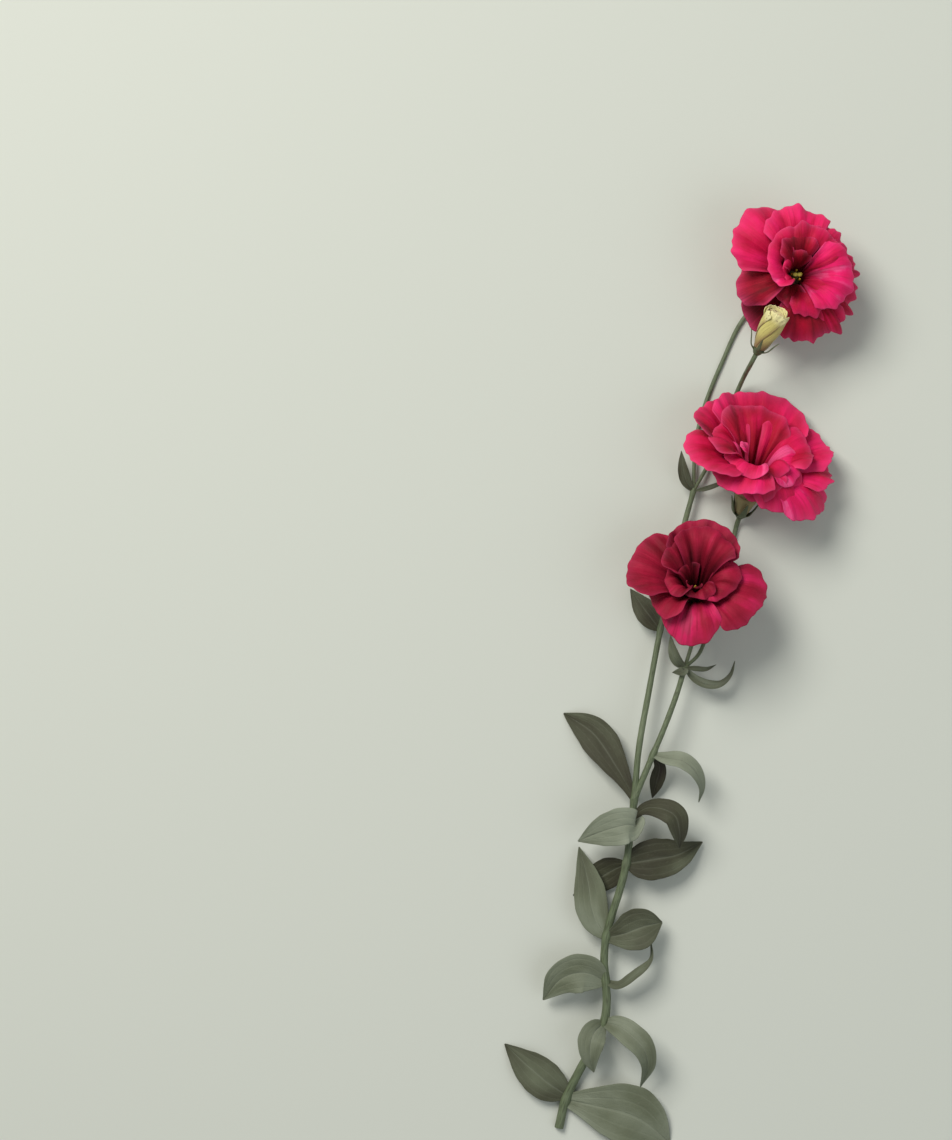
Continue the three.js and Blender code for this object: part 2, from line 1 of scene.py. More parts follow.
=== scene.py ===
"""A cut lisianthus stem lying on a pale surface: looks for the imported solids.

Every leaf, petal, sepal and length of stem is laid out again by the formula that shaped its solid, on a
much finer grid, with the veins, frills and creases that the solids leave out. Lengths are in
millimetres in the plant's own layout, where X runs across the stem and Y along it from the cut end,
and they become metres in the shared frame at the last step.
"""

from __future__ import annotations

import logging
import math
import random
from bisect import bisect_right
from dataclasses import dataclass
from enum import Enum
from functools import partialmethod
from typing import Callable, Iterable, Sequence

import bpy
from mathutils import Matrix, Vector

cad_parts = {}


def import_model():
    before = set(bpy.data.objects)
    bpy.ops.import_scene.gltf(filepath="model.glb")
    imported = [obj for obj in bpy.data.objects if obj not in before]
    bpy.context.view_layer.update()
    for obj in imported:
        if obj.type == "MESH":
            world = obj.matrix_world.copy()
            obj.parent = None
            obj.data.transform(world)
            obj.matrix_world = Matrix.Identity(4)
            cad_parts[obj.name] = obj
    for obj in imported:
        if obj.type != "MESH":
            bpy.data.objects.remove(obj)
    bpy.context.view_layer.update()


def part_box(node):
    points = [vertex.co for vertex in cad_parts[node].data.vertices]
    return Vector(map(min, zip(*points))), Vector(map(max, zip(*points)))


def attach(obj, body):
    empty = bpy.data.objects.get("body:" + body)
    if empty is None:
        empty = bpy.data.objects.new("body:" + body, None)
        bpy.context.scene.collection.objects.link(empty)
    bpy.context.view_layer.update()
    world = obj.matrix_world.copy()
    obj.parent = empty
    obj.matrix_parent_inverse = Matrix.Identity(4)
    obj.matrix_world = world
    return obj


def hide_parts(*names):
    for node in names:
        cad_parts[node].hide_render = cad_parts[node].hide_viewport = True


log = logging.getLogger("lisianthus")

MM = 0.001
TAU = 2 * math.pi
MIDDLE = Vector((66.225, 240.27, 0.0))  # middle of the plant's footprint, in its own layout
LOWEST = 0.35  # half a blade's thickness: nothing's middle surface lies lower
WELD = 1e-6  # points nearer than this, in metres, become one
SHARP_EDGE = math.radians(50)  # round pieces show edges sharper than this

GAP = 0.3  # between a calyx and what stands in it
ROOT_HEIGHT = 6.0  # where petals leave their tube
STALK_GAP = 4.0  # how far below a bloom's seat its stalk ends
STALK_LEAD = 5.0  # the straight end of a stalk

Point = tuple[float, float, float]
Outline = Sequence[tuple[float, float]]  # (radius, height) points
Surface = Callable[[float, float], Vector]
Colour = tuple[float, float, float, float]
Piece = bpy.types.Object


# ---------- numbers and lines ----------


def mix(a: float, b: float, t: float) -> float:
    """Returns the value a share t of the way from a to b."""
    return a + (b - a) * t


def evenly(turn: float, count: int) -> list[float]:
    """Returns count angles in radians, spread evenly round from turn, in degrees."""
    return [math.radians(turn + 360 / count * k) for k in range(count)]


def clamp01(x: float) -> float:
    """Returns x, kept between 0 and 1."""
    return min(1.0, max(0.0, x))


def smooth(low: float, high: float, x: float) -> float:
    """Returns 0 below low, 1 above high and a smooth step between them."""
    t = clamp01((x - low) / (high - low))
    return t * t * (3 - 2 * t)


def bezier(a: float, b: float, c: float, d: float, t: float) -> float:
    """Returns a cubic Bezier value at t."""
    s = 1 - t
    return s**3 * a + 3 * s * s * t * b + 3 * s * t * t * c + t**3 * d


class Wobble:
    """A smooth random line made of a few sine waves, about -1 to 1."""

    def __init__(self, rng: random.Random, rates: Sequence[float]) -> None:
        """Draws one phase for each wave.

        Args:
            rng: the seeded source of the phases.
            rates: each wave's angle, in radians, for one unit along.
        """
        self.terms = [(rate, rng.uniform(0, TAU)) for rate in rates]

    def __call__(self, x: float) -> float:
        """Returns the line's height at x."""
        return sum(math.sin(rate * x + phase) for rate, phase in self.terms) / len(self.terms)

    def bays(self, x: float) -> float:
        """Returns round bays between sharp points, 0 at a point and 1 in the middle of a bay."""
        return sum(abs(math.sin(rate * x + phase)) for rate, phase in self.terms) / len(self.terms)


class Route:
    """A smooth line through given points, read by its length."""

    SAMPLES = 200

    def __init__(self, points: Sequence[Point]) -> None:
        """Measures the line.

        Args:
            points: the places that the line passes through, in millimetres.
        """
        inner = [Vector(p) for p in points]
        first = 2 * inner[0] - inner[1]
        last = 2 * inner[-1] - inner[-2]
        self.knots = [first, *inner, last]
        self.samples = [self._raw(i / self.SAMPLES) for i in range(self.SAMPLES + 1)]
        self.reached = [0.0]
        for a, b in zip(self.samples, self.samples[1:]):
            self.reached.append(self.reached[-1] + (b - a).length)
        self.length = self.reached[-1]

    def _raw(self, t: float) -> Vector:
        """Returns the point at parameter t of a centripetal Catmull-Rom line."""
        spans = len(self.knots) - 3
        k = min(int(t * spans), spans - 1)
        w = t * spans - k
        p0, p1, p2, p3 = self.knots[k : k + 4]
        d0, d1, d2 = (math.sqrt((b - a).length) for a, b in ((p0, p1), (p1, p2), (p2, p3)))
        t1 = ((p1 - p0) / d0 - (p2 - p0) / (d0 + d1) + (p2 - p1) / d1) * d1
        t2 = ((p2 - p1) / d1 - (p3 - p1) / (d1 + d2) + (p3 - p2) / d2) * d1
        a = 2 * p1 - 2 * p2 + t1 + t2
        b = 3 * p2 - 3 * p1 - 2 * t1 - t2
        return ((a * w + b) * w + t1) * w + p1

    def point(self, t: float) -> Vector:
        """Returns the place at a share t of the line's length."""
        wanted = clamp01(t) * self.length
        high = min(bisect_right(self.reached, wanted), self.SAMPLES)
        low = high - 1
        span = self.reached[high] - self.reached[low]
        share = (wanted - self.reached[low]) / span if span else 0.0
        return self.samples[low].lerp(self.samples[high], share)

    def tangent(self, t: float) -> Vector:
        """Returns the line's direction at a share t of its length."""
        step = 0.004
        return (self.point(t + step) - self.point(t - step)).normalized()


@dataclass(frozen=True)
class Seat:
    """Where a bloom stands and how it faces. Azimuths run from +X towards +Y."""

    origin: Vector
    axis: Vector
    right: Vector
    up: Vector

    @classmethod
    def facing(cls, origin: Point, facing: Point) -> Seat:
        """Returns the seat at origin for a bloom that looks along facing."""
        axis = Vector(facing).normalized()
        right = (Vector((1, 0, 0)) - axis * axis.x).normalized()
        return cls(Vector(origin), axis, right, axis.cross(right))

    def place(self, radius: float, azimuth: float, height: float) -> Vector:
        """Returns the point at a radius and azimuth round the bloom's axis and a height along it."""
        out = self.right * math.cos(azimuth) + self.up * math.sin(azimuth)
        return self.origin + self.axis * height + out * radius

    def stalk_end(self) -> list[Point]:
        """Returns the last two points of the stalk under the bloom."""
        return [tuple(self.place(0, 0, -h)) for h in (STALK_GAP + STALK_LEAD, STALK_GAP)]


# ---------- meshes ----------


def world(place: Vector) -> Vector:
    """Returns a place of the plant's layout as metres in the shared frame."""
    return (place - MIDDLE) * MM


def settle(place: Vector) -> Vector:
    """Returns the place, raised to lie on the surface where it would pass below it."""
    return Vector((place.x, place.y, max(place.z, LOWEST)))


def add_grid(surface: Surface, cells: tuple[int, int]) -> Piece:
    """Adds a grid primitive and lays it over a surface.

    Args:
        surface: gives a place for u from -1 to 1 across and v from 0 to 1 along.
        cells: the number of cells across and along.

    Returns:
        The new object, active and selected alone.
    """
    bpy.ops.object.select_all(action="DESELECT")
    bpy.ops.mesh.primitive_grid_add(x_subdivisions=cells[0], y_subdivisions=cells[1], size=2.0)
    obj = bpy.context.active_object
    for vertex in obj.data.vertices:
        u, v = vertex.co.x, (vertex.co.y + 1) / 2
        vertex.co = world(surface(u, v))
    return obj


def apply_modifiers(obj: Piece) -> None:
    """Applies all of an object's modifiers in order."""
    bpy.context.view_layer.objects.active = obj
    for modifier in list(obj.modifiers):
        bpy.ops.object.modifier_apply(modifier=modifier.name)


def mark(obj: Piece, name: str, values: float | Sequence[float]) -> None:
    """Writes a number on each of an object's points.

    Args:
        obj: the object.
        name: the attribute's name, which its material reads.
        values: one number for all points, or one for each.
    """
    count = len(obj.data.vertices)
    data = [values] * count if isinstance(values, float) else values
    attribute = obj.data.attributes.new(name, "FLOAT", "POINT")
    attribute.data.foreach_set("value", data)


def blade(surface: Surface, cells: tuple[int, int], thickness: float, tone: float = 0.5) -> Piece:
    """Makes one thin blade, such as a petal or leaf, with its underside marked.

    Args:
        surface: the blade's middle surface.
        cells: the grid's cells across and along.
        thickness: the blade's thickness in millimetres.
        tone: how light the blade is, 0 to 1, for its material.

    Returns:
        The finished object.
    """
    obj = add_grid(surface, cells)
    upper = obj.vertex_groups.new(name="upper")
    solidify = obj.modifiers.new("thickness", "SOLIDIFY")
    solidify.thickness = thickness * MM
    solidify.offset = 0
    solidify.shell_vertex_group = upper.name
    subdivide = obj.modifiers.new("smooth", "SUBSURF")
    subdivide.levels = subdivide.render_levels = 1
    apply_modifiers(obj)
    weights = [1 - v.groups[0].weight if v.groups else 1.0 for v in obj.data.vertices]
    obj.vertex_groups.clear()
    mark(obj, "under", weights)
    mark(obj, "tone", tone)
    bpy.ops.object.shade_smooth()
    return obj


def rolled(surface: Surface, cells: tuple[int, int], tone: float = 0.5) -> Piece:
    """Makes a closed round piece from a grid rolled up round its axis.

    Args:
        surface: gives a place for u from -1 to 1 round the axis and v from 0 to 1 along it.
        cells: the grid's cells round and along.
        tone: how light the piece is, 0 to 1, for its material.

    Returns:
        The finished object.
    """
    obj = add_grid(surface, cells)
    bpy.ops.object.mode_set(mode="EDIT")
    bpy.ops.mesh.select_all(action="SELECT")
    bpy.ops.mesh.remove_doubles(threshold=WELD)
    bpy.ops.mesh.fill_holes(sides=0)
    bpy.ops.mesh.normals_make_consistent(inside=False)
    bpy.ops.object.mode_set(mode="OBJECT")
    mark(obj, "under", 0.0)
    mark(obj, "tone", tone)
    bpy.ops.object.shade_smooth_by_angle(angle=SHARP_EDGE)
    return obj


def turned(seat: Seat, outline: Outline, around: int, tone: float = 0.5) -> Piece:
    """Turns a line of (radius, height) points round a bloom's axis.

    Args:
        seat: the bloom's seat.
        outline: the line, which is smoothed.
        around: the number of sides.
        tone: how light the piece is, for its material.

    Returns:
        The finished object.
    """
    line = Route([(r, 0.0, h) for r, h in outline])

    def surface(u: float, v: float) -> Vector:
        at = line.point(v)
        return seat.place(max(at.x, 0.0), math.pi * u, at.z)

    return rolled(surface, (around, 6 * len(outline)), tone)


def tube(
    route: Route, radius: Callable[[float], float], cells: tuple[int, int], tone: float = 0.5
) -> Piece:
    """Makes a round stem along a route.

    Args:
        route: the stem's middle line.
        radius: gives the radius at a share of the length.
        cells: the sides round the stem and the steps along it.
        tone: how light the stem is, for its material.

    Returns:
        The finished object.
    """
    steps = cells[1]
    sides: list[Vector] = []
    side = route.tangent(0).orthogonal().normalized()
    for j in range(steps + 1):
        tangent = route.tangent(j / steps)
        side = (side - tangent * side.dot(tangent)).normalized()
        sides.append(side)

    def surface(u: float, v: float) -> Vector:
        out = sides[round(v * steps)]
        tangent = route.tangent(v)
        turn = math.pi * u
        around = out * math.cos(turn) + tangent.cross(out) * math.sin(turn)
        return route.point(v) + around * radius(v)

    return rolled(surface, cells, tone)


def join(name: str, pieces: Sequence[Piece]) -> Piece:
    """Joins objects into the first one.

    Args:
        name: the name of the joined object.
        pieces: the objects, at least one.

    Returns:
        The joined object.
    """
    bpy.ops.object.select_all(action="DESELECT")
    for piece in pieces:
        piece.select_set(True)
    bpy.context.view_layer.objects.active = pieces[0]
    if len(pieces) > 1:
        bpy.ops.object.join()
    pieces[0].name = pieces[0].data.name = name
    return pieces[0]


# ---------- shader maths ----------


def srgb(red: int, green: int, blue: int) -> Colour:
    """Returns a colour given as 0 to 255 screen values as linear light."""

    def linear(value: int) -> float:
        x = value / 255
        return x / 12.92 if x <= 0.04045 else ((x + 0.055) / 1.055) ** 2.4

    return linear(red), linear(green), linear(blue), 1.0


class Value:
    """An output of a node that does arithmetic by adding Math nodes."""

    def __init__(self, graph: Graph, socket: bpy.types.NodeSocket) -> None:
        """Wraps a socket of a graph."""
        self.graph = graph
        self.socket = socket

    def _math(self, operation: str, other: Value | float = 0.0, swap: bool = False) -> Value:
        """Returns a Math node's result for this value and another, or the other way round."""
        a, b = (other, self) if swap else (self, other)
        return self.graph.value("ShaderNodeMath", {0: a, 1: b}, operation=operation)

    __add__ = __radd__ = partialmethod(_math, "ADD")
    __mul__ = __rmul__ = partialmethod(_math, "MULTIPLY")
    __sub__ = partialmethod(_math, "SUBTRACT")
    __rsub__ = partialmethod(_math, "SUBTRACT", swap=True)
    __pow__ = partialmethod(_math, "POWER")
    __abs__ = partialmethod(_math, "ABSOLUTE")
    sine = partialmethod(_math, "SINE")
    larger = partialmethod(_math, "MAXIMUM")

    def step(self, low: float, high: float) -> Value:
        """Returns 0 below low, 1 above high, with a smooth step between."""
        inputs = {"Value": self, "From Min": low, "From Max": high}
        return self.graph.value("ShaderNodeMapRange", inputs, interpolation_type="SMOOTHSTEP")


class Graph:
    """The node graph of one material, with the usual nodes a call away."""

    def __init__(self, name: str) -> None:
        """Starts a material with one Principled shader."""
        self.material = bpy.data.materials.new(name)
        self.material.use_nodes = True
        self.tree = self.material.node_tree
        self.shader = self.tree.nodes["Principled BSDF"]

    def node(self, kind: str, inputs: dict[int | str, object], **settings: object) -> bpy.types.Node:
        """Adds a node.

        Args:
            kind: the node's type.
            inputs: a value, colour or Value for each socket, by name or number.
            **settings: the node's properties, set before its sockets.

        Returns:
            The new node.
        """
        node = self.tree.nodes.new(kind)
        for key, setting in settings.items():
            setattr(node, key, setting)
        for key, value in inputs.items():
            self.feed(node.inputs[key], value)
        return node

    def value(
        self, kind: str, inputs: dict[int | str, object], output: int | str = 0, **settings: object
    ) -> Value:
        """Adds a node, as node() does, and returns one of its outputs."""
        return Value(self, self.node(kind, inputs, **settings).outputs[output])

    def feed(self, socket: bpy.types.NodeSocket, value: object) -> None:
        """Links a Value to a socket, or sets the socket's own value."""
        if isinstance(value, Value):
            self.tree.links.new(value.socket, socket)
        else:
            socket.default_value = value

    def uv(self) -> tuple[Value, Value]:
        """Returns the place on the piece: -1 to 1 across it and 0 to 1 along it."""
        source = self.value("ShaderNodeUVMap", {}, uv_map="UVMap")
        split = self.node("ShaderNodeSeparateXYZ", {0: source})
        return Value(self, split.outputs[0]) * 2 - 1, Value(self, split.outputs[1])

    def attribute(self, name: str) -> Value:
        """Returns a number that was marked on the mesh."""
        return self.value("ShaderNodeAttribute", {}, "Fac", attribute_name=name)

    def metres(self) -> Value:
        """Returns the place in the shared frame."""
        return self.value("ShaderNodeTexCoord", {}, "Object")

    def vector(self, *xyz: Value | float) -> Value:
        """Returns three values as one vector."""
        return self.value("ShaderNodeCombineXYZ", dict(enumerate(xyz)))

    def noise(self, at: Value, scale: float, detail: float = 3.0) -> Value:
        """Returns smooth noise about 0.5."""
        inputs = {"Vector": at, "Scale": scale, "Detail": detail, "Roughness": 0.55}
        return self.value("ShaderNodeTexNoise", inputs)

    def ramp(self, factor: Value, stops: Sequence[tuple[float, Colour]]) -> Value:
        """Returns a colour that runs through stops, each a position and its colour."""
        node = self.node("ShaderNodeValToRGB", {0: factor})
        elements = node.color_ramp.elements
        while len(elements) < len(stops):
            elements.new(0.5)
        for element, (position, colour) in zip(elements, stops):
            element.position = position
            element.color = colour
        return Value(self, node.outputs[0])

    def blend(self, factor: Value | float, a: Value | Colour, b: Value | Colour) -> Value:
        """Returns colour a turned towards b by a factor."""
        inputs = {0: factor, 6: a, 7: b}
        return self.value("ShaderNodeMix", inputs, 2, data_type="RGBA", clamp_factor=True)

    def bump(self, height: Value, depth: float) -> Value:
        """Returns normals for a relief whose full height is depth, in millimetres."""
        return self.value("ShaderNodeBump", {"Strength": 1.0, "Distance": depth * MM, "Height": height})

    def dress(self, **sockets: object) -> bpy.types.Material:
        """Feeds the shader's sockets, named with underscores, and returns the material."""
        for name, value in sockets.items():
            title = name.replace("_", " ").title().replace("Ior", "IOR")
            self.feed(self.shader.inputs[title], value)
        return self.material


# ---------- finishes ----------


@dataclass(frozen=True)
class PetalFinish:
    """Velvety petal: veined, paler on the back, with painted shade in the throat, a paler rim that is
    partly painted highlight, and painted lighter and darker by its tone.
    """

    name: str
    bright: Colour
    body: Colour
    deep: Colour
    rim: Colour
    throat_shade: Colour
    back: Colour
    foot: Colour

    def material(self) -> bpy.types.Material:
        """Returns the petal material."""
        g = Graph(self.name)
        across, along = g.uv()
        tone = g.attribute("tone")
        under = g.attribute("under")
        fan = g.vector(across * 7, along * 0.9, tone * 9)
        veins = g.noise(fan, 3.0, 4.0)
        broad = g.noise(g.vector(across * 1.6, along * 0.8, tone * 7), 1.6, 2.0)
        cloud = g.noise(g.metres(), 60.0, 4.0)
        # painted light and shade: each petal's tone, set for how it faces the light, plus random clouds,
        # runs from the throat's painted shade through deep and body to painted highlight in bright and
        # rim
        stops = [
            (0.0, self.throat_shade), (0.32, self.deep), (0.64, self.body), (0.9, self.bright), (1.0, self.rim),
        ]
        colour = g.ramp(tone + (cloud - 0.5) * 0.9 + (broad - 0.5) * 1.1, stops)
        colour = g.blend(veins.step(0.46, 0.7) * 0.4, colour, self.deep)
        # paler margin: partly the petal's own paler edge, partly painted highlight along its rolled rims
        margin = (abs(across) ** 10).larger(along ** 18)
        colour = g.blend(margin * (0.2 + 0.5 * veins), colour, self.rim)
        # painted shade: each petal darkens towards the throat, where shade falls between the petals
        colour = g.blend((1 - along.step(0.2, 0.8)) * 0.85 * (1 - under), colour, self.throat_shade)
        colour = g.blend(under * 0.6, colour, self.back)
        colour = g.blend((1 - along.step(0.06, 0.32)) * 0.85 * under, colour, self.foot)
        relief = veins + 0.4 * g.noise(g.metres(), 900.0)
        return g.dress(
            base_color=colour,
            roughness=0.62 - 0.12 * veins,
            normal=g.bump(relief, 0.35),
            sheen_weight=0.04,
            sheen_roughness=0.4,
            sheen_tint=self.rim,
            specular_ior_level=0.12,
        )


@dataclass(frozen=True)
class LeafFinish:
    """Waxy leaf with a pale midrib and arched veins; its tone runs from dark to pale."""

    name: str
    tones: tuple[Colour, Colour, Colour, Colour]
    vein: Colour
    back: Colour

    def material(self) -> bpy.types.Material:
        """Returns the leaf material."""
        g = Graph(self.name)
        across, along = g.uv()
        tone = g.attribute("tone")
        under = g.attribute("under")
        cloud = g.noise(g.metres(), 70.0, 5.0)
        fine = g.noise(g.metres(), 900.0, 2.0)
        stops = [(k / 3, shade) for k, shade in enumerate(self.tones)]
        broad = g.noise(g.vector(across * 0.7, along * 1.3, tone * 13), 1.0, 1.0)
        colour = g.ramp(tone + (cloud - 0.5) * 0.3 + (broad - 0.5) * 0.7, stops)
        midrib = 1 - abs(across).step(0.02, 0.09)
        bent = abs(across) + (along - 0.5) ** 2 * 0.12
        arches = ((bent * 19).sine() * 0.5 + 0.5) ** 8
        net = g.noise(g.vector(across * 6, along * 9, tone * 5), 4.0, 4.0)
        lines = midrib.larger(arches * 0.3)
        colour = g.blend(lines * (0.1 + 0.25 * tone), colour, self.vein)
        colour = g.blend(net.step(0.55, 0.75) * 0.1, colour, self.vein)
        colour = g.blend(under * 0.5, colour, self.back)
        relief = 0.5 * net + 0.2 * fine - 0.6 * lines
        return g.dress(
            base_color=colour,
            roughness=0.58 + 0.2 * (cloud - 0.5),
            normal=g.bump(relief, 0.5),
            specular_ior_level=0.25,
            sheen_weight=0.03,
            sheen_roughness=0.5,
        )


@dataclass(frozen=True)
class StemFinish:
    """Smooth pale green stem with a faint waxy bloom and long streaks."""

    name: str
    green: Colour
    shade: Colour
    wax: Colour

    def material(self) -> bpy.types.Material:
        """Returns the stem material."""
        g = Graph(self.name)
        across, along = g.uv()
        cloud = g.noise(g.metres(), 60.0, 4.0)
        streak = g.noise(g.vector(across * 6, along * 14, 0.0), 2.0, 3.0)
        fine = g.noise(g.metres(), 1200.0, 2.0)
        colour = g.blend(streak.step(0.4, 0.7), self.green, self.shade)
        colour = g.blend(cloud.step(0.45, 0.75) * 0.45, colour, self.wax)
        return g.dress(
            base_color=colour,
            roughness=0.5 + 0.2 * (cloud - 0.5),
            normal=g.bump(0.6 * streak + 0.4 * fine, 0.3),
            specular_ior_level=0.4,
        )


@dataclass(frozen=True)
class BudFinish:
    """Cream bud, pink-brown at its foot and along its folds, with a pale, brown-dotted tip."""

    name: str
    cream: Colour
    flush: Colour
    foot: Colour
    tip: Colour

    def material(self) -> bpy.types.Material:
        """Returns the bud material."""
        g = Graph(self.name)
        across, along = g.uv()
        tone = g.attribute("tone")
        streak = g.noise(g.vector(across * 8, along * 1.2, tone * 7), 3.0, 4.0)
        edge = (abs(across) ** 5).larger(along ** 10)
        colour = g.blend((1 - along.step(0.02, 0.5)) * 0.7, self.cream, self.foot)
        colour = g.blend(streak.step(0.45, 0.7) * 0.3, colour, self.flush)
        mouth = along.step(0.72, 0.92)
        dots = g.noise(g.metres(), 520.0, 1.0).step(0.6, 0.68)
        colour = g.blend(mouth * 0.75, colour, self.tip)
        colour = g.blend(edge * (1 - mouth) * (0.45 + 0.8 * streak), colour, self.flush)
        colour = g.blend(mouth * dots * 0.85, colour, self.flush)
        return g.dress(
            base_color=colour,
            roughness=0.55,
            normal=g.bump(streak, 0.3),
            sheen_weight=0.15,
            specular_ior_level=0.35,
        )


@dataclass(frozen=True)
class HeartFinish:
    """Green pistil and golden anthers, told apart by their tone."""

    name: str
    pistil: Colour
    gold: Colour

    def material(self) -> bpy.types.Material:
        """Returns the heart material."""
        g = Graph(self.name)
        tone = g.attribute("tone")
        fine = g.noise(g.metres(), 1500.0, 3.0)
        colour = g.blend(tone, self.pistil, self.gold)
        colour = g.blend(fine.step(0.4, 0.7) * 0.35, colour, self.pistil)
        return g.dress(base_color=colour, roughness=0.7, normal=g.bump(fine, 0.3))


STEM = StemFinish("stem_green", srgb(100, 113, 84), srgb(72, 80, 58), srgb(126, 137, 110))
CALYX = StemFinish("calyx_green", srgb(90, 101, 70), srgb(60, 69, 46), srgb(116, 126, 96))
LEAF = LeafFinish(
    "leaf_green",
    (srgb(44, 38, 32), srgb(66, 67, 50), srgb(102, 109, 88), srgb(142, 150, 132)),
    srgb(148, 155, 136),
    srgb(112, 119, 100),
)
PINK = PetalFinish(
    "petal_pink",
    bright=srgb(240, 34, 110),
    body=srgb(218, 24, 84),
    deep=srgb(170, 16, 46),
    rim=srgb(242, 84, 142),
    throat_shade=srgb(104, 10, 22),
    back=srgb(194, 42, 84),
    foot=srgb(134, 146, 102),
)
CRIMSON = PetalFinish(
    "petal_crimson",
    bright=srgb(210, 36, 94),
    body=srgb(166, 26, 58),
    deep=srgb(122, 16, 36),
    rim=srgb(186, 52, 92),
    throat_shade=srgb(60, 8, 16),
    back=srgb(142, 32, 58),
    foot=srgb(134, 146, 102),
)
BUD_SKIN = BudFinish(
    "bud_cream", srgb(206, 196, 116), srgb(116, 74, 60), srgb(140, 104, 82), srgb(238, 232, 176)
)
HEART = HeartFinish("heart_gold", srgb(150, 158, 70), srgb(222, 186, 60))


class Palette:
    """The materials, each made once, and the last step of every piece."""

    def __init__(self) -> None:
        """Makes every material."""
        finishes = (STEM, CALYX, LEAF, PINK, CRIMSON, BUD_SKIN, HEART)
        self.materials = {finish.name: finish.material() for finish in finishes}

    def deliver(self, parts: Sequence[Piece], node: str, finish_name: str, slot: str) -> None:
        """Joins a piece's parts, dresses it and lets it stand for its solid.

        Args:
            parts: the parts, at least one.
            node: the solid that they stand for.
            finish_name: the name of their material.
            slot: the record's material slot; not used.
        """
        piece = join(f"{node}_finished", parts)
        piece.data.materials.clear()
        piece.data.materials.append(self.materials[finish_name])
        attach(piece, "root")
        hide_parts(node)
        low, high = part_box(node)
        near, far = piece.bound_box[0], piece.bound_box[6]
        past = max(max(low[k] - near[k], far[k] - high[k]) for k in range(3))
        log.info("%s: %d faces, %.1f mm past its solid", piece.name, len(piece.data.polygons), past / MM)


# ---------- stems ----------

FORK = (41.5, 177, 14.5)
NODE_RIGHT = (68, 245.5, 13)
NODE_LEFT = (73, 338, 6)
NODE_FOOT = (6, 18, 2.1)
NODE_LOW = (26, 59, 7)
NODE_STRIP = (26.8, 81, 8.3)
NODE_BROAD = (27, 104, 9.8)
NODE_DARK = (37.4, 143, 12.8)
NODE_FRONT = (40.2, 166, 14.2)
NODE_BRANCH = (51.2, 200, 15)
NODE_STALK = (55.4, 265, 8.8)
NODES = (
    FORK, NODE_RIGHT, NODE_LEFT, NODE_FOOT, NODE_LOW, NODE_STRIP,
    NODE_BROAD, NODE_DARK, NODE_FRONT, NODE_BRANCH, NODE_STALK,
)


@dataclass
class Stems:
    """The main stem, its two branches and the flower stalks, one grown piece."""

    cut_radius: float = 2.4
    fork_radius: float = 1.9
    branch_fork_radius: float = 1.7
    branch_radius: float = 1.4
    stalk_radius: float = 0.95
    stalk_top_radius: float = 1.3
    swell: float = 0.2
    swell_length: float = 2.5
    uneven: float = 0.04
    sides: int = 14
    step: float = 1.6

    def length_of_stem(self, name: str, points: Sequence[Point], ends: tuple[float, float]) -> Piece:
        """Makes one length of stem, thicker at its nodes.

        Args:
            name: the length's own name, which seeds its random bumps.
            points: the route.
            ends: the radius at the first and the last point.

        Returns:
            The new object.
        """
        route = Route(points)
        bumps = Wobble(random.Random(name), (0.11, 0.27, 0.61))

        def radius(v: float) -> float:
            at = route.point(v)
            near = min((at - Vector(node)).length for node in NODES)
            swelling = self.swell * math.exp(-((near / self.swell_length) ** 2))
            uneven = self.uneven * bumps(v * route.length)
            return mix(*ends, v) * (1 + swelling + uneven)

        piece = tube(route, radius, (self.sides, round(route.length / self.step)))
        for vertex in piece.data.vertices:
            vertex.co.z = max(vertex.co.z, 0.0)
        return piece

    def build(self, blooms: dict[str, Sequence[Point]]) -> list[Piece]:
        """Makes all lengths of stem.

        Args:
            blooms: for each bloom, the last two points of its stalk.

        Returns:
            The lengths of stem, still apart.
        """
        branch = (self.branch_fork_radius, self.branch_radius)
        stalk = (self.stalk_radius, self.stalk_top_radius)
        main = [
            (2.5, 3, 1.7), NODE_FOOT, (12.5, 32, 3.6), (20, 46, 5.4), NODE_LOW, (27.4, 70, 7.8),
            NODE_STRIP, (26, 92.5, 9), NODE_BROAD, (30, 116, 10.8), (34.3, 130, 11.9), NODE_DARK,
            NODE_FRONT, FORK,
        ]
        left = [
            FORK, (44, 203.5, 13.5), (49.5, 234, 11.3), NODE_STALK, (60, 287, 7.2), (66.5, 314, 6.2),
            NODE_LEFT,
        ]
        right = [FORK, NODE_BRANCH, (57.5, 215, 14.6), (63.5, 231, 13.8), NODE_RIGHT]
        low = [NODE_RIGHT, (71.5, 256, 9), (74, 264.5, 7.5)]
        side = [NODE_RIGHT, (76, 253, 8.5), (82, 270.5, 5), (88, 291, 2.6), (93, 307, 1.4)]
        top = [
            NODE_LEFT, (74.4, 364, 2.6), (79.6, 383.8, 1.2), (88.4, 405.6, 0.9), (99, 427.5, 0.9),
            (112, 441, 1.1),
        ]
        bud = [NODE_LEFT, (81, 352, 2.6), (89, 372, 1.8), (95.3, 388, 3), (98.8, 397, 12)]
        lengths = {
            "main": (main, (self.cut_radius, self.fork_radius)),
            "branch_left": (left, branch),
            "branch_right": (right, branch),
            "stalk_low": ([*low, *blooms["bloom_low"]], stalk),
            "stalk_side": ([*side, *blooms["bloom_side"]], stalk),
            "stalk_top": ([*top, *blooms["bloom_top"]], stalk),
            "stalk_bud": ([*bud, *blooms["bud"]], stalk),
        }
        return [self.length_of_stem(name, *length) for name, length in lengths.items()]


# ---------- leaves ----------

LEAF_THICKNESS = 0.5
WIDEST_BRACT = 3.5  # half width
FOOT, BELLY, TIP = 0.2, 0.93, 0.03  # a leaf's widths, as shares of its greatest one
VALLEY = 0.02  # how round the fold along a leaf's midrib is
NOTCH, CURL, PUFF = 0.03, 0.025, 0.02  # how uneven its margin and its face are


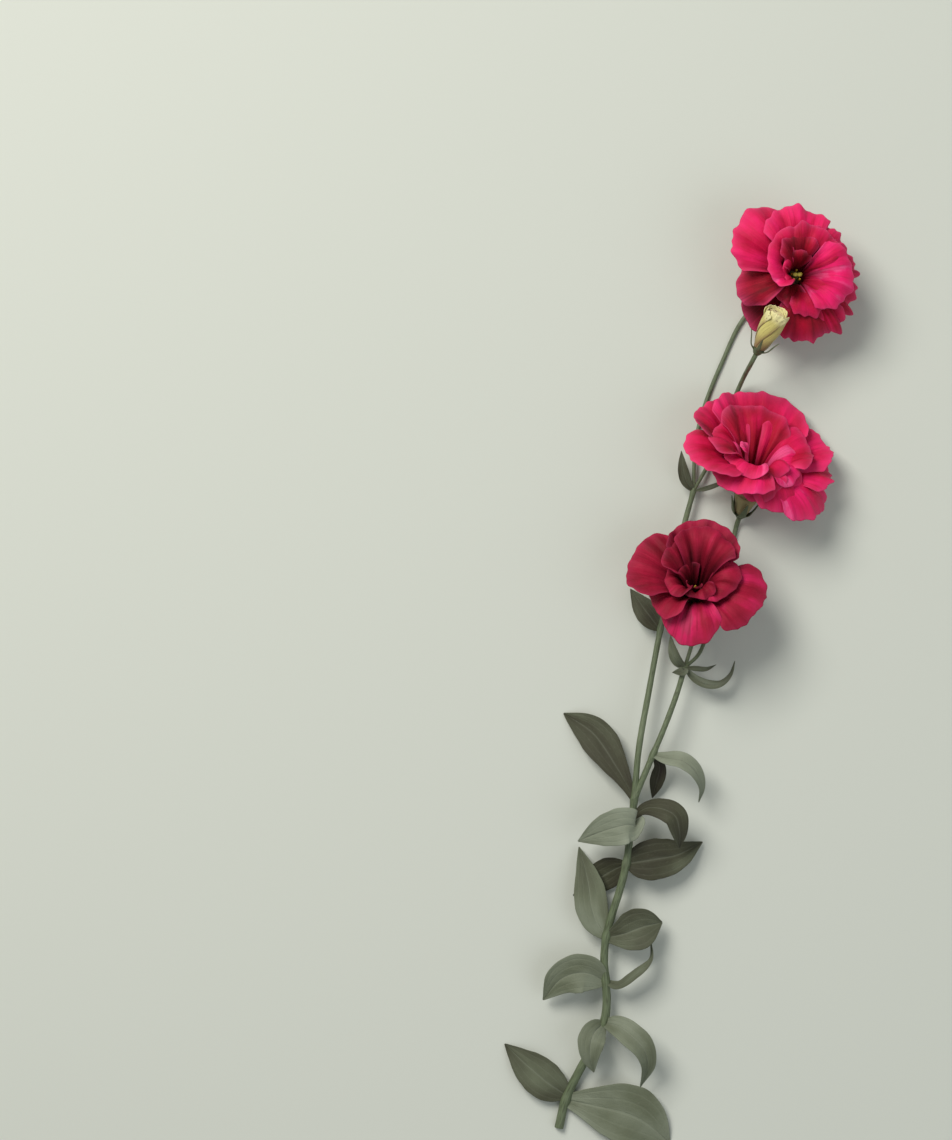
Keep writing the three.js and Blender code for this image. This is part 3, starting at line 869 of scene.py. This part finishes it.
@dataclass(frozen=True)
class Leaf:
    """One leaf or bract, by its midrib, its greatest half width and the way it looks."""

    name: str
    rib: tuple[Point, ...]
    half: float
    tone: float = 0.6
    face: Point = (0, 0, 1)
    face_tip: Point | None = None
    fold: float = 0.12
    wave: float = 0.06
    skew: float = 0.82

    def surface(self) -> Surface:
        """Returns the leaf's middle surface: the solid's, with a softer fold and a finer wave."""
        route = Route(self.rib)
        rng = random.Random(self.name)
        margin = Wobble(rng, (9.0, 15.0, 23.0))
        blister = Wobble(rng, (5.0, 8.0))
        face_base = Vector(self.face).normalized()
        face_tip = Vector(self.face_tip or self.face).normalized()

        def place(u: float, v: float) -> Vector:
            tangent = route.tangent(v)
            face = face_base.lerp(face_tip, v).normalized()
            side = tangent.cross(face).normalized()
            normal = side.cross(tangent)
            belly = BELLY * math.sin(math.pi * v**self.skew)
            width = self.half * (FOOT * (1 - v) ** 2 + belly + TIP)
            fold = self.fold * (math.sqrt(u * u + VALLEY) - 0.14)
            ripple = self.wave * math.sin(2.5 * math.pi * v + (0 if u > 0 else 2)) * u * u
            fine = CURL * margin(v * (1.3 if u > 0 else 1)) * abs(u) ** 3
            puff = PUFF * blister(u * 2 + v * 3) * (1 - u * u)
            at = route.point(v) + side * (-u * width * (1 + NOTCH * margin(v * 1.7 + u)))
            return settle(at + normal * ((fold + ripple + fine + puff) * width))

        return place

    def build(self, palette: Palette) -> None:
        """Makes the leaf and hands it over."""
        cells = (18, 30) if self.half > WIDEST_BRACT else (8, 20)
        leaf = blade(self.surface(), cells, LEAF_THICKNESS, self.tone)
        palette.deliver([leaf], self.name, LEAF.name, "leaf")


LEAVES = (
    Leaf(
        "leaf_foot_right", (NODE_FOOT, (22, 15, 5.5), (43, 9, 5.5), (61, -5, LOWEST)),
        16, 0.78, skew=1.2,
    ),
    Leaf("leaf_foot_left", ((7, 20, 2.3), (-3, 27, 5), (-15, 37, 4), (-26, 47, LOWEST)), 10, 0.45),
    Leaf(
        "leaf_low_arch",
        (
            NODE_LOW, (33, 58.5, 15.5), (39.5, 54.5, 20.5), (45.5, 48.5, 21.5), (48.4, 39.5, 19),
            (44.8, 26, 11),
        ),
        6.5, 0.8, (-0.4, 0.4, 0.8), (0.6, 0.1, 0.8), fold=0.25,
    ),
    Leaf(
        "leaf_low_front",
        (NODE_LOW, (21, 55, 13.5), (19, 51, 16.5), (18.5, 43, 17), (20.5, 34, 13)),
        7, 0.8,
    ),
    Leaf(
        "leaf_strip",
        (NODE_STRIP, (33, 79, 11), (42, 85, 13), (50.5, 93, 12.5), (50.5, 102, 8)),
        4, 0.6, (-0.5, 0.85, 0.3), (-0.9, -0.2, 0.35),
    ),
    Leaf("leaf_pale", (NODE_STRIP, (15, 86, 13), (4, 83, 12.5), (-6, 71, 7)), 10, 0.8, fold=0.25),
    Leaf(
        "leaf_broad", (NODE_BROAD, (35, 106, 13), (46, 110, 13.5), (56.5, 112, 9.5)),
        11, 0.5, fold=0.28, skew=1.2,
    ),
    Leaf("leaf_ribbed", (NODE_BROAD, (20.5, 116, 10), (17.5, 134, 7.5), (13, 151, 3)), 8.5, 0.65),
    Leaf(
        "leaf_dark_right", (NODE_DARK, (50, 145, 13), (65, 147.5, 9), (78, 153.5, 3)),
        10.5, 0.33, skew=0.7,
    ),
    Leaf("leaf_dark_left", (NODE_DARK, (29, 138, 5), (19, 131, 1.4), (10, 125, LOWEST)), 8, 0.3),
    Leaf(
        "leaf_fork_front",
        (NODE_FRONT, (42, 163.5, 19.5), (37.5, 164, 23), (24.5, 160.5, 22), (12, 155, 16)),
        9.5, 0.85,
    ),
    Leaf(
        "leaf_fork_arch",
        (NODE_FRONT, (46.5, 172, 18), (55, 172.5, 23), (62, 169, 25), (64.5, 160.5, 23), (65, 151.5, 18)),
        6.5, 0.3, (-0.4, 0.4, 0.8), (0.4, 0.2, 0.9), skew=1.3,
    ),
    Leaf("leaf_fork_left", (FORK, (32, 194, 10), (20, 211, 5), (5, 221, LOWEST)), 9.5, 0.33, skew=1.4),
    Leaf(
        "leaf_branch_arch",
        (
            NODE_BRANCH, (58, 198.5, 18.5), (66, 197.5, 22), (73, 192, 21.5), (76.5, 183.5, 18),
            (75.2, 175, 13),
        ),
        4.8, 0.85, (-0.2, 0.6, 0.8), (0.7, 0.2, 0.7),
    ),
    Leaf(
        "leaf_branch_hang", (NODE_BRANCH, (55, 193.5, 10), (53.7, 185.5, 6), (51.5, 176.5, 3)),
        4, 0.15, skew=1.2,
    ),
    Leaf("leaf_stalk", (NODE_STALK, (50, 272, 8), (45, 279, 5.5), (40, 286.5, 3)), 6, 0.4),
    Leaf(
        "bract_low_left",
        (NODE_RIGHT, (63.8, 249, 16), (61.3, 255, 17.5), (60.3, 262.5, 16)),
        3, 0.6, (-0.4, 0, 0.9),
    ),
    Leaf("bract_low_front", (NODE_RIGHT, (67, 243.8, 16.5), (61, 243, 17)), 2.4, 0.65),
    Leaf("bract_low_right", (NODE_RIGHT, (73.5, 245, 15), (79, 244.8, 15.2), (84.5, 247, 13.5)), 1.4),
    Leaf(
        "bract_low_curl",
        (
            NODE_RIGHT, (73, 239.8, 12.8), (79.5, 236.8, 12.5), (86.5, 236.8, 12.5), (92, 241.5, 11),
            (94.5, 249, 9),
        ),
        2.6, 0.7, (-0.1, 0.6, 0.8), (-0.7, 0.3, 0.6),
    ),
    Leaf("bract_high_left", (NODE_LEFT, (69, 343, 8.5), (67, 350.5, 10), (66.5, 359, 8)), 3, 0.5),
    Leaf("bract_high_right", (NODE_LEFT, (79, 339, 8), (86.5, 341.5, 8.5), (94, 344, 7)), 1.3),
)


# ---------- blooms ----------

CELL = (1.5, 2.0)  # a petal's grid, across and along
FEWEST_CELLS = 12
RUN = (0.05, 1.5, 0.42)  # how far out a petal's two control points lie
RISE = (0.62, 1.18)  # their heights, as shares of the petal's top
SPREAD = (0.55, 0.45)  # a petal's share of its full angle at its root, and what it gains
SPREAD_BY = 0.6  # how far along it has gained that
ROLLING = (0.78, 1.05)  # where along a petal its rim starts and ends to roll back
LOBE = 0.04  # how much its lobes stand out
PROBE = 0.01  # the step along it that gives its slope
TUBE = ((0.0, GAP), (3.0, GAP), (4.8, ROOT_HEIGHT), (6.2, 11.0), (5.8, 13.0), (3.4, 5.6), (0.0, 5.4))
SEPALS_CLOSE = ((1.8, -1.6), (4.6, 0.8), (6.1, 4.6), (7.4, 8.6), (8.8, 12.4))
SEPALS_OPEN = ((1.8, -1.6), (4.8, 0.6), (7.2, 3.0), (9.8, 5.2), (12.4, 7.2))
SEPALS_BUD = ((1.8, -1.6), (4.6, 0.4), (6.0, 3.0), (7.2, 5.8), (8.6, 8.2))


@dataclass(frozen=True)
class Petal:
    """One petal: where its rim stands, how it waves and how its margin is cut."""

    az: float
    half: float
    reach: float
    rim: float
    root: float = 4.3
    top: float = 26
    cup: float = 1.5
    twist: float = 3.2
    ruffle: float = 2.0
    waves: float = 2
    corner: float = 0.16
    lean: float = 0.0
    frill: float = 1.3
    cut: float = 0.05
    fine: float = 1.1
    crease: float = 0.8
    roll: float = 1.2
    # tone: partly the petal's own colour, partly painted light and shade for how it faces the light
    tone: float = 0.5

    def cells(self) -> tuple[int, int]:
        """Returns the grid's cells, of about the same size on every petal."""
        width = 2 * math.radians(self.half) * self.reach
        length = math.hypot(self.reach - self.root, self.top)
        return tuple(max(FEWEST_CELLS, round(x / cell)) for x, cell in zip((width, length), CELL))

    def surface(self, seat: Seat, seed: str, tooth: float) -> Surface:
        """Returns the petal's middle surface.

        Args:
            seat: the bloom's seat.
            seed: names the random draw of its fine waves.
            tooth: how strongly this bloom's margins are toothed.

        Returns:
            The solid's surface, with a frilled, cut and rolled margin and long creases.
        """
        rng = random.Random(f"{seed}{self.az}")
        frill = Wobble(rng, (0.28, 0.5, 0.85))
        cut = Wobble(rng, (0.23 * self.fine, 0.41 * self.fine))
        crease = Wobble(rng, (0.3, 0.55))
        lobes = Wobble(rng, (2.3, 4.1))
        phase = self.az / 40
        margin = math.radians(self.half) * self.reach

        def rib(s: float, reach: float) -> tuple[float, float]:
            r = bezier(self.root, self.root + RUN[0] * reach, RUN[1] + RUN[2] * reach, reach, s)
            h = bezier(ROOT_HEIGHT, RISE[0] * self.top, RISE[1] * self.top, self.rim, s)
            return r, h

        def place(u: float, v: float) -> Vector:
            arc = u * margin
            reach = self.reach * (1 + self.lean * u)
            uneven = tooth * self.cut * cut.bays(arc) + LOBE * lobes(u)
            s = v * (1 - self.corner * abs(u) ** 3 - uneven * v**3)
            r, h = rib(s, reach)
            r1, h1 = rib(s + PROBE, reach)
            length = math.hypot(r1 - r, h1 - h)
            spread = SPREAD[0] + SPREAD[1] * math.sin(math.pi / 2 * clamp01(s / SPREAD_BY))
            wave = math.sin(math.pi * self.waves * u + phase) * mix(0.35, 1, abs(u))
            lift = self.cup * u * u * s + self.twist * u * s + self.ruffle * max(s, 0) ** 2.5 * wave
            lift += self.frill * frill(arc) * v**5 + self.crease * crease(arc) * math.sin(math.pi * v)
            lift -= self.roll * smooth(*ROLLING, v) ** 2
            azimuth = math.radians(self.az + u * self.half * spread)
            height = h + lift * (r1 - r) / length
            radius = r - lift * (h1 - h) / length
            return settle(seat.place(radius, azimuth, height))

        return place


class Whorl(Enum):
    """The rings of petals, from the outside in, with what sets each ring's petals apart."""

    OUTER = {}
    MIDDLE = {"root": 3.9, "top": 30, "cup": 1.2, "twist": 2.2, "ruffle": 1.6}
    INNER = {"root": 3.6, "cup": 0.6, "twist": 0.9, "ruffle": 0.8, "waves": 1.5, "roll": 0.5}

    def petal(self, az: float, half: float, reach: float, rim: float, **more: float) -> Petal:
        """Returns a petal of this ring."""
        return Petal(az, half, reach, rim, **{**self.value, **more})


outer, middle, inner = (whorl.petal for whorl in Whorl)


@dataclass
class Calyx:
    """The green cup under a flower and its five narrow sepals."""

    seat: Seat
    turn: float
    line: Outline
    half: float = 2.0
    depth: float = 3.7
    rim_radius: float = 3.1
    stalk_radius: float = 1.5
    point: float = 0.93
    keel: float = 0.35
    thickness: float = 0.5
    count: int = 5

    def sepal(self, azimuth: float) -> Piece:
        """Makes one pointed sepal, keeled along its middle.

        Args:
            azimuth: where it stands round the calyx, in radians.

        Returns:
            The sepal.
        """
        route = Route([(r, 0.0, h) for r, h in self.line])

        def place(u: float, v: float) -> Vector:
            at = route.point(v)
            tangent = route.tangent(v)
            side = u * self.half * (1 - self.point * v * v)
            keel = self.keel * (1 - u * u) * (1 - v)
            spot = self.seat.place(at.x + keel * tangent.z, azimuth, at.z - keel * tangent.x)
            turn = azimuth + math.pi / 2
            return spot + (self.seat.right * math.cos(turn) + self.seat.up * math.sin(turn)) * side

        return blade(place, (6, 14), self.thickness)

    def build(self, node: str, palette: Palette) -> None:
        """Makes the cup with its sepals and hands them over."""
        depth, rim = self.depth, self.rim_radius
        outline = [(0.0, -depth), (self.stalk_radius, -depth), (rim, -0.3), (rim - 0.4, 0.0), (0.0, 0.0)]
        pieces = [turned(self.seat, outline, 20)]
        pieces += [self.sepal(azimuth) for azimuth in evenly(self.turn, self.count)]
        palette.deliver(pieces, node, CALYX.name, "calyx")


@dataclass
class Heart:
    """Ovary, style, two-lobed stigma and five stamens."""

    seat: Seat
    base: float = 5.7
    stigma_height: float = 18.0
    turn: float = 20.0
    stigma: Point = (1.4, 1.1, 0.9)
    anther: Point = (0.62, 0.62, 1.5)
    filament: tuple[float, float] = (0.32, 0.25)
    count: int = 5

    def lobe(self, centre: Point, size: Point, tone: float) -> Piece:
        """Makes a rounded lobe.

        Args:
            centre: its middle, to the bloom's right, up and along its axis.
            size: its half sizes that way.
            tone: how golden it is, 0 to 1.

        Returns:
            The lobe.
        """
        x, y, h = centre

        def place(u: float, v: float) -> Vector:
            turn, rise = math.pi * u, math.pi * (v - 0.5)
            at_x = x + size[0] * math.cos(rise) * math.cos(turn)
            at_y = y + size[1] * math.cos(rise) * math.sin(turn)
            spot = self.seat.right * at_x + self.seat.up * at_y
            return self.seat.origin + spot + self.seat.axis * (h + size[2] * math.sin(rise))

        return rolled(place, (14, 10), tone)

    def build(self, node: str, palette: Palette) -> None:
        """Makes the heart and hands it over."""
        base, top = self.base, self.stigma_height
        outline = [(0.0, base), (1.5, base), (2.0, base + 3), (0.8, base + 7.5), (0.7, top), (0.0, top)]
        pieces = [turned(self.seat, outline, 14, 0.0)]
        pieces += [self.lobe((1.1 * side, 0, top), self.stigma, 0.35) for side in (-1, 1)]
        for azimuth in evenly(self.turn, self.count):
            line = [(1.3, base + 0.6), (2.1, base + 4), (2.5, base + 9)]
            route = Route([tuple(self.seat.place(r, azimuth, h)) for r, h in line])
            pieces.append(tube(route, lambda v: mix(*self.filament, v), (8, 10)))
            tip = (2.55 * math.cos(azimuth), 2.55 * math.sin(azimuth), base + 10)
            pieces.append(self.lobe(tip, self.anther, 1.0))
        palette.deliver(pieces, node, HEART.name, "heart")


@dataclass
class Bloom:
    """An open double bloom: corolla, calyx and heart."""

    name: str
    seat: Seat
    turn: float
    sepals: Outline
    finish: PetalFinish
    petals: tuple[Petal, ...]
    tooth: float = 1.0
    thickness: float = 0.42

    def corolla(self, palette: Palette) -> None:
        """Makes the petals and the tube that they grow from, and hands them over."""
        pieces = [turned(self.seat, TUBE, 28, 0.45)]
        shade_as_foot(pieces[0])
        for petal in self.petals:
            surface = petal.surface(self.seat, self.name, self.tooth)
            pieces.append(blade(surface, petal.cells(), self.thickness, petal.tone))
        palette.deliver(pieces, f"{self.name}_petals", self.finish.name, self.finish.name)

    def build(self, palette: Palette) -> None:
        """Makes the whole bloom."""
        self.corolla(palette)
        Calyx(self.seat, self.turn, self.sepals).build(f"{self.name}_calyx", palette)
        Heart(self.seat).build(f"{self.name}_heart", palette)


def shade_as_foot(piece: Piece) -> None:
    """Maps a corolla's tube to the petals' roots and their backs, so that it takes those colours."""
    for loop in piece.data.uv_layers[0].data:
        loop.uv = (0.35 + 0.3 * loop.uv[0], 0.12 * loop.uv[1])
    under = piece.data.attributes["under"]
    under.data.foreach_set("value", [1.0] * len(piece.data.vertices))


@dataclass
class Bud:
    """A furled bud: five petals wound round each other, in their calyx."""

    name: str
    seat: Seat
    turn: float
    length: float = 23.2
    profile: tuple[float, float, float, float] = (3.1, 5.2, 7.4, 4.7)
    twist: float = 110.0
    count: int = 5
    span: float = 150.0
    thickness: float = 0.45
    flare: float = 1.4
    frill: float = 0.7

    def petal_surface(self, k: int) -> Surface:
        """Returns the surface of petal k, tucked under its neighbour on one side."""
        rng = random.Random(f"{self.name}{k}")
        rim = Wobble(rng, (5.0, 9.0))
        reach = rng.uniform(0.93, 1.0)

        def place(u: float, v: float) -> Vector:
            w = (u + 1) / 2
            t = v * reach * (1 - 0.12 * abs(u) ** 3 + 0.03 * rim(u * 3) * v)
            body = bezier(*self.profile, t)
            layer = mix(0.8, 1.04, w) + 0.04 * math.sin(math.pi * w)
            lip = self.flare * smooth(0.82, 1, v) * w + self.frill * rim(u * 4 + 4) * v**4 * w
            azimuth = math.radians(360 / self.count * k + self.twist * t + w * self.span)
            return self.seat.place(body * layer + lip, azimuth, GAP + self.length * t)

        return place

    def build(self, palette: Palette) -> None:
        """Makes the bud and its calyx, and hands them over."""
        shares = (0, 0.25, 0.5, 0.75, 0.9)
        wall = [(bezier(*self.profile, t) * 0.8, GAP + self.length * t) for t in shares]
        outline = [(0.0, GAP), *wall, (0.0, self.length * shares[-1])]
        pieces = [turned(self.seat, outline, 20)]
        for k in range(self.count):
            surface, tone = self.petal_surface(k), 0.3 + 0.1 * k
            pieces.append(blade(surface, (16, 24), self.thickness, tone))
        palette.deliver(pieces, f"{self.name}_petals", BUD_SKIN.name, "bud")
        Calyx(self.seat, self.turn, SEPALS_BUD, half=1.2).build(f"{self.name}_calyx", palette)


# Petal tones are partly painted light and shade: petals that sit in shade get low tones, and petals
# facing the light get high ones.
BLOOM_LOW = Bloom(
    name="bloom_low",
    seat=Seat.facing((73.3, 276.6, 16), (-0.05, 0.57, 0.82)),
    turn=20,
    sepals=SEPALS_CLOSE,
    finish=CRIMSON,
    tooth=0.5,
    petals=(
        outer(78, 58, 31, 38, ruffle=1.4, crease=1.2, tone=0.4),
        outer(162, 48, 37.5, 29, waves=1, tone=0.45),
        outer(210, 40, 28, 20, waves=1),
        outer(255, 47, 31.5, 12, waves=1.5, ruffle=2.2, fine=1.0, tone=0.85),
        outer(338, 42, 38, 16, waves=1.5, tone=0.65),
        middle(70, 56, 25, 39, top=34, waves=2.5, crease=1.4, corner=0.1, tone=0.3),
        middle(146, 46, 20, 36, lean=-0.15, waves=1.5, tone=0.35),
        middle(206, 50, 17, 29, lean=-0.1, waves=3, roll=0.3, ruffle=2.2, frill=1.4, tone=0.42),
        middle(276, 54, 14, 28, waves=3.5, roll=0.3, ruffle=2.2, frill=1.4, tone=0.45),
        middle(338, 48, 22, 25, lean=0.15, roll=0.4, ruffle=0.9, waves=3, tone=0.55),
        inner(128, 56, 10, 29, waves=2, tone=0.2),
        inner(250, 66, 6, 25, tone=0.3),
    ),
)
BLOOM_SIDE = Bloom(
    name="bloom_side",
    seat=Seat.facing((97.8, 326.6, 7.5), (0.2, 0.74, 0.64)),
    turn=-18,
    sepals=SEPALS_CLOSE,
    finish=PINK,
    tooth=0.5,
    petals=(
        outer(88, 52, 45, 49, top=33, waves=2.5, crease=1.2),
        outer(132, 48, 42, 46, top=35, waves=1.5, tone=0.4),
        outer(190, 50, 40, 38, top=40, corner=0.22, frill=0.6, crease=1.2, tone=0.48),
        outer(234, 52, 29, 30, top=42, corner=0.1, frill=0.6, tone=0.65),
        outer(272, 48, 23, 25, top=41, frill=0.6),
        outer(308, 46, 28, 21, top=40, roll=0.5, tone=0.6),
        outer(349, 47, 41, 17, top=38, waves=1.5, corner=0.12, lean=0.07, tone=0.75),
        outer(20, 38, 46, 30, top=34, waves=3, cut=0.09, fine=1.6, tone=0.6),
        outer(48, 46, 47, 40, top=32, waves=2.5, cut=0.07, fine=1.6, tone=0.75),
        middle(100, 60, 31, 49, top=38, waves=3.5, ruffle=2.4, crease=1.5, corner=0.24, tone=0.3),
        middle(160, 54, 29, 44, top=42, waves=2.5, crease=1.3, tone=0.4),
        middle(218, 58, 22, 38, top=43, waves=3, roll=0.7, frill=1.2, tone=0.75),
        middle(280, 60, 17, 35, top=43, waves=3, roll=0.6, frill=1.2, tone=0.55),
        middle(346, 50, 24, 33, top=40, ruffle=1.4, roll=0.4, frill=0.9, tone=0.95),
        middle(36, 50, 31, 42, top=38, waves=2.5, crease=1.3, tone=0.65),
        inner(170, 34, 12, 42, top=38, waves=2.5, ruffle=1.6, frill=0.5, roll=0, tone=1.0),
    ),
)
BLOOM_TOP = Bloom(
    name="bloom_top",
    seat=Seat.facing((123, 448, 14), (0.1, 0.05, 0.99)),
    turn=5,
    sepals=SEPALS_OPEN,
    finish=PINK,
    tooth=1.1,
    petals=(
        outer(137, 42, 42.5, 18, waves=2.5, ruffle=2.6, crease=1.4, cut=0.035, tone=0.65),
        outer(96, 38, 36, 21, waves=2.5, corner=0.06, lean=-0.1, cut=0.04, tone=0.6),
        outer(46, 38, 32, 20, waves=2.5, cut=0.085, fine=1.6, tone=0.6),
        outer(6, 38, 33.5, 16, waves=3, cut=0.09, fine=1.6, tone=0.55),
        outer(322, 38, 34.5, 13, waves=3, cut=0.085, fine=1.6),
        outer(1, 7, 34.6, 15, waves=1, corner=0.45, cut=0.02, tone=0.45),
        outer(325, 9, 37.5, 11.5, waves=1, corner=0.5, cut=0.02, tone=0.35),
        outer(306, 10, 39, 10, waves=1, corner=0.5, cut=0.02, tone=0.3),
        outer(282, 42, 37.5, 10, waves=2.5, top=23, fine=1.4, tone=0.25),
        outer(232, 44, 33, 1, top=16, waves=1.5, cut=0.02, tone=0.0),
        outer(182, 42, 31, 9, waves=1.5, cut=0.03, tone=0.1),
        middle(160, 70, 22, 32, lean=-0.32, waves=3.5, ruffle=2, roll=1.1, tone=0.65),
        middle(240, 50, 19, 17, top=22, tone=0.15),
        middle(300, 48, 26, 20, top=27, waves=3, crease=1.3, cut=0.09),
        middle(352, 60, 29, 25, waves=3, roll=1, tone=0.8),
        middle(60, 52, 27, 28, waves=3, crease=1.3, tone=0.45),
        middle(100, 46, 21, 31, waves=3, crease=1.4, tone=0.25),
        inner(110, 60, 12, 28, tone=0.2),
        inner(176, 56, 11, 29, waves=2),
    ),
)
BUD = Bud("bud", Seat.facing((105, 410.8, 33), (0.4, 0.8, 0.42)), 325)


# ---------- stage ----------


@dataclass
class Studio:
    """A pale floor, soft light and a camera that looks straight down on the flower."""

    aim: Point = (-41.08, 296.4, 20.0)
    distance: float = 1600.0
    frame_height: float = 592.8
    sensor: float = 36.0
    floor_size: float = 24000.0

    def camera(self) -> None:
        """Makes the camera."""
        aim = world(Vector(self.aim))
        data = bpy.data.cameras.new("camera")
        data.lens = self.sensor * self.distance / self.frame_height
        data.sensor_width = self.sensor
        camera = bpy.data.objects.new("camera", data)
        camera.location = aim + Vector((0, 0, self.distance * MM))
        bpy.context.scene.collection.objects.link(camera)
        bpy.context.scene.camera = camera

    def floor(self) -> None:
        """Makes the plain floor."""
        bpy.ops.object.select_all(action="DESELECT")
        bpy.ops.mesh.primitive_plane_add(size=self.floor_size * MM)
        floor = bpy.context.active_object
        floor.name = "floor"
        g = Graph("floor_pale")
        floor.data.materials.append(g.dress(base_color=srgb(206, 211, 202), roughness=0.9))

    def lamp(self, name: str, place: Point, size: float, watts: float, tint: Colour) -> None:
        """Makes one square soft light that looks at the flower.

        Args:
            name: the light's name.
            place: where it hangs, in metres.
            size: the length of its sides, in metres.
            watts: its power.
            tint: its colour.
        """
        data = bpy.data.lights.new(name, "AREA")
        data.size = size
        data.energy = watts
        data.color = tint[:3]
        lamp = bpy.data.objects.new(name, data)
        lamp.location = place
        lamp.rotation_euler = (-Vector(place)).to_track_quat("-Z", "Y").to_euler()
        bpy.context.scene.collection.objects.link(lamp)

    def build(self) -> None:
        """Makes the stage."""
        self.camera()
        self.floor()
        self.lamp("key", (-0.9, 1.1, 1.6), 1.0, 38.0, srgb(255, 250, 244))
        self.lamp("fill", (1.2, -0.6, 1.5), 1.6, 8.0, srgb(244, 248, 255))
        scene_world = bpy.data.worlds.new("studio")
        scene_world.use_nodes = True
        background = scene_world.node_tree.nodes["Background"]
        background.inputs["Color"].default_value = srgb(232, 236, 234)
        background.inputs["Strength"].default_value = 0.32
        bpy.context.scene.world = scene_world
        bpy.context.scene.view_settings.view_transform = "Standard"


def main() -> None:
    """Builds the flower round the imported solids, and its stage."""
    logging.basicConfig(level=logging.INFO, format="%(message)s")
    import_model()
    palette = Palette()
    flowers = (BLOOM_LOW, BLOOM_SIDE, BLOOM_TOP, BUD)
    Studio().build()
    stems = Stems().build({flower.name: flower.seat.stalk_end() for flower in flowers})
    palette.deliver(stems, "main_stem", STEM.name, "stem")
    for leaf in LEAVES:
        leaf.build(palette)
    for flower in flowers:
        flower.build(palette)
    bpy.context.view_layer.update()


if __name__ == "__main__":
    main()
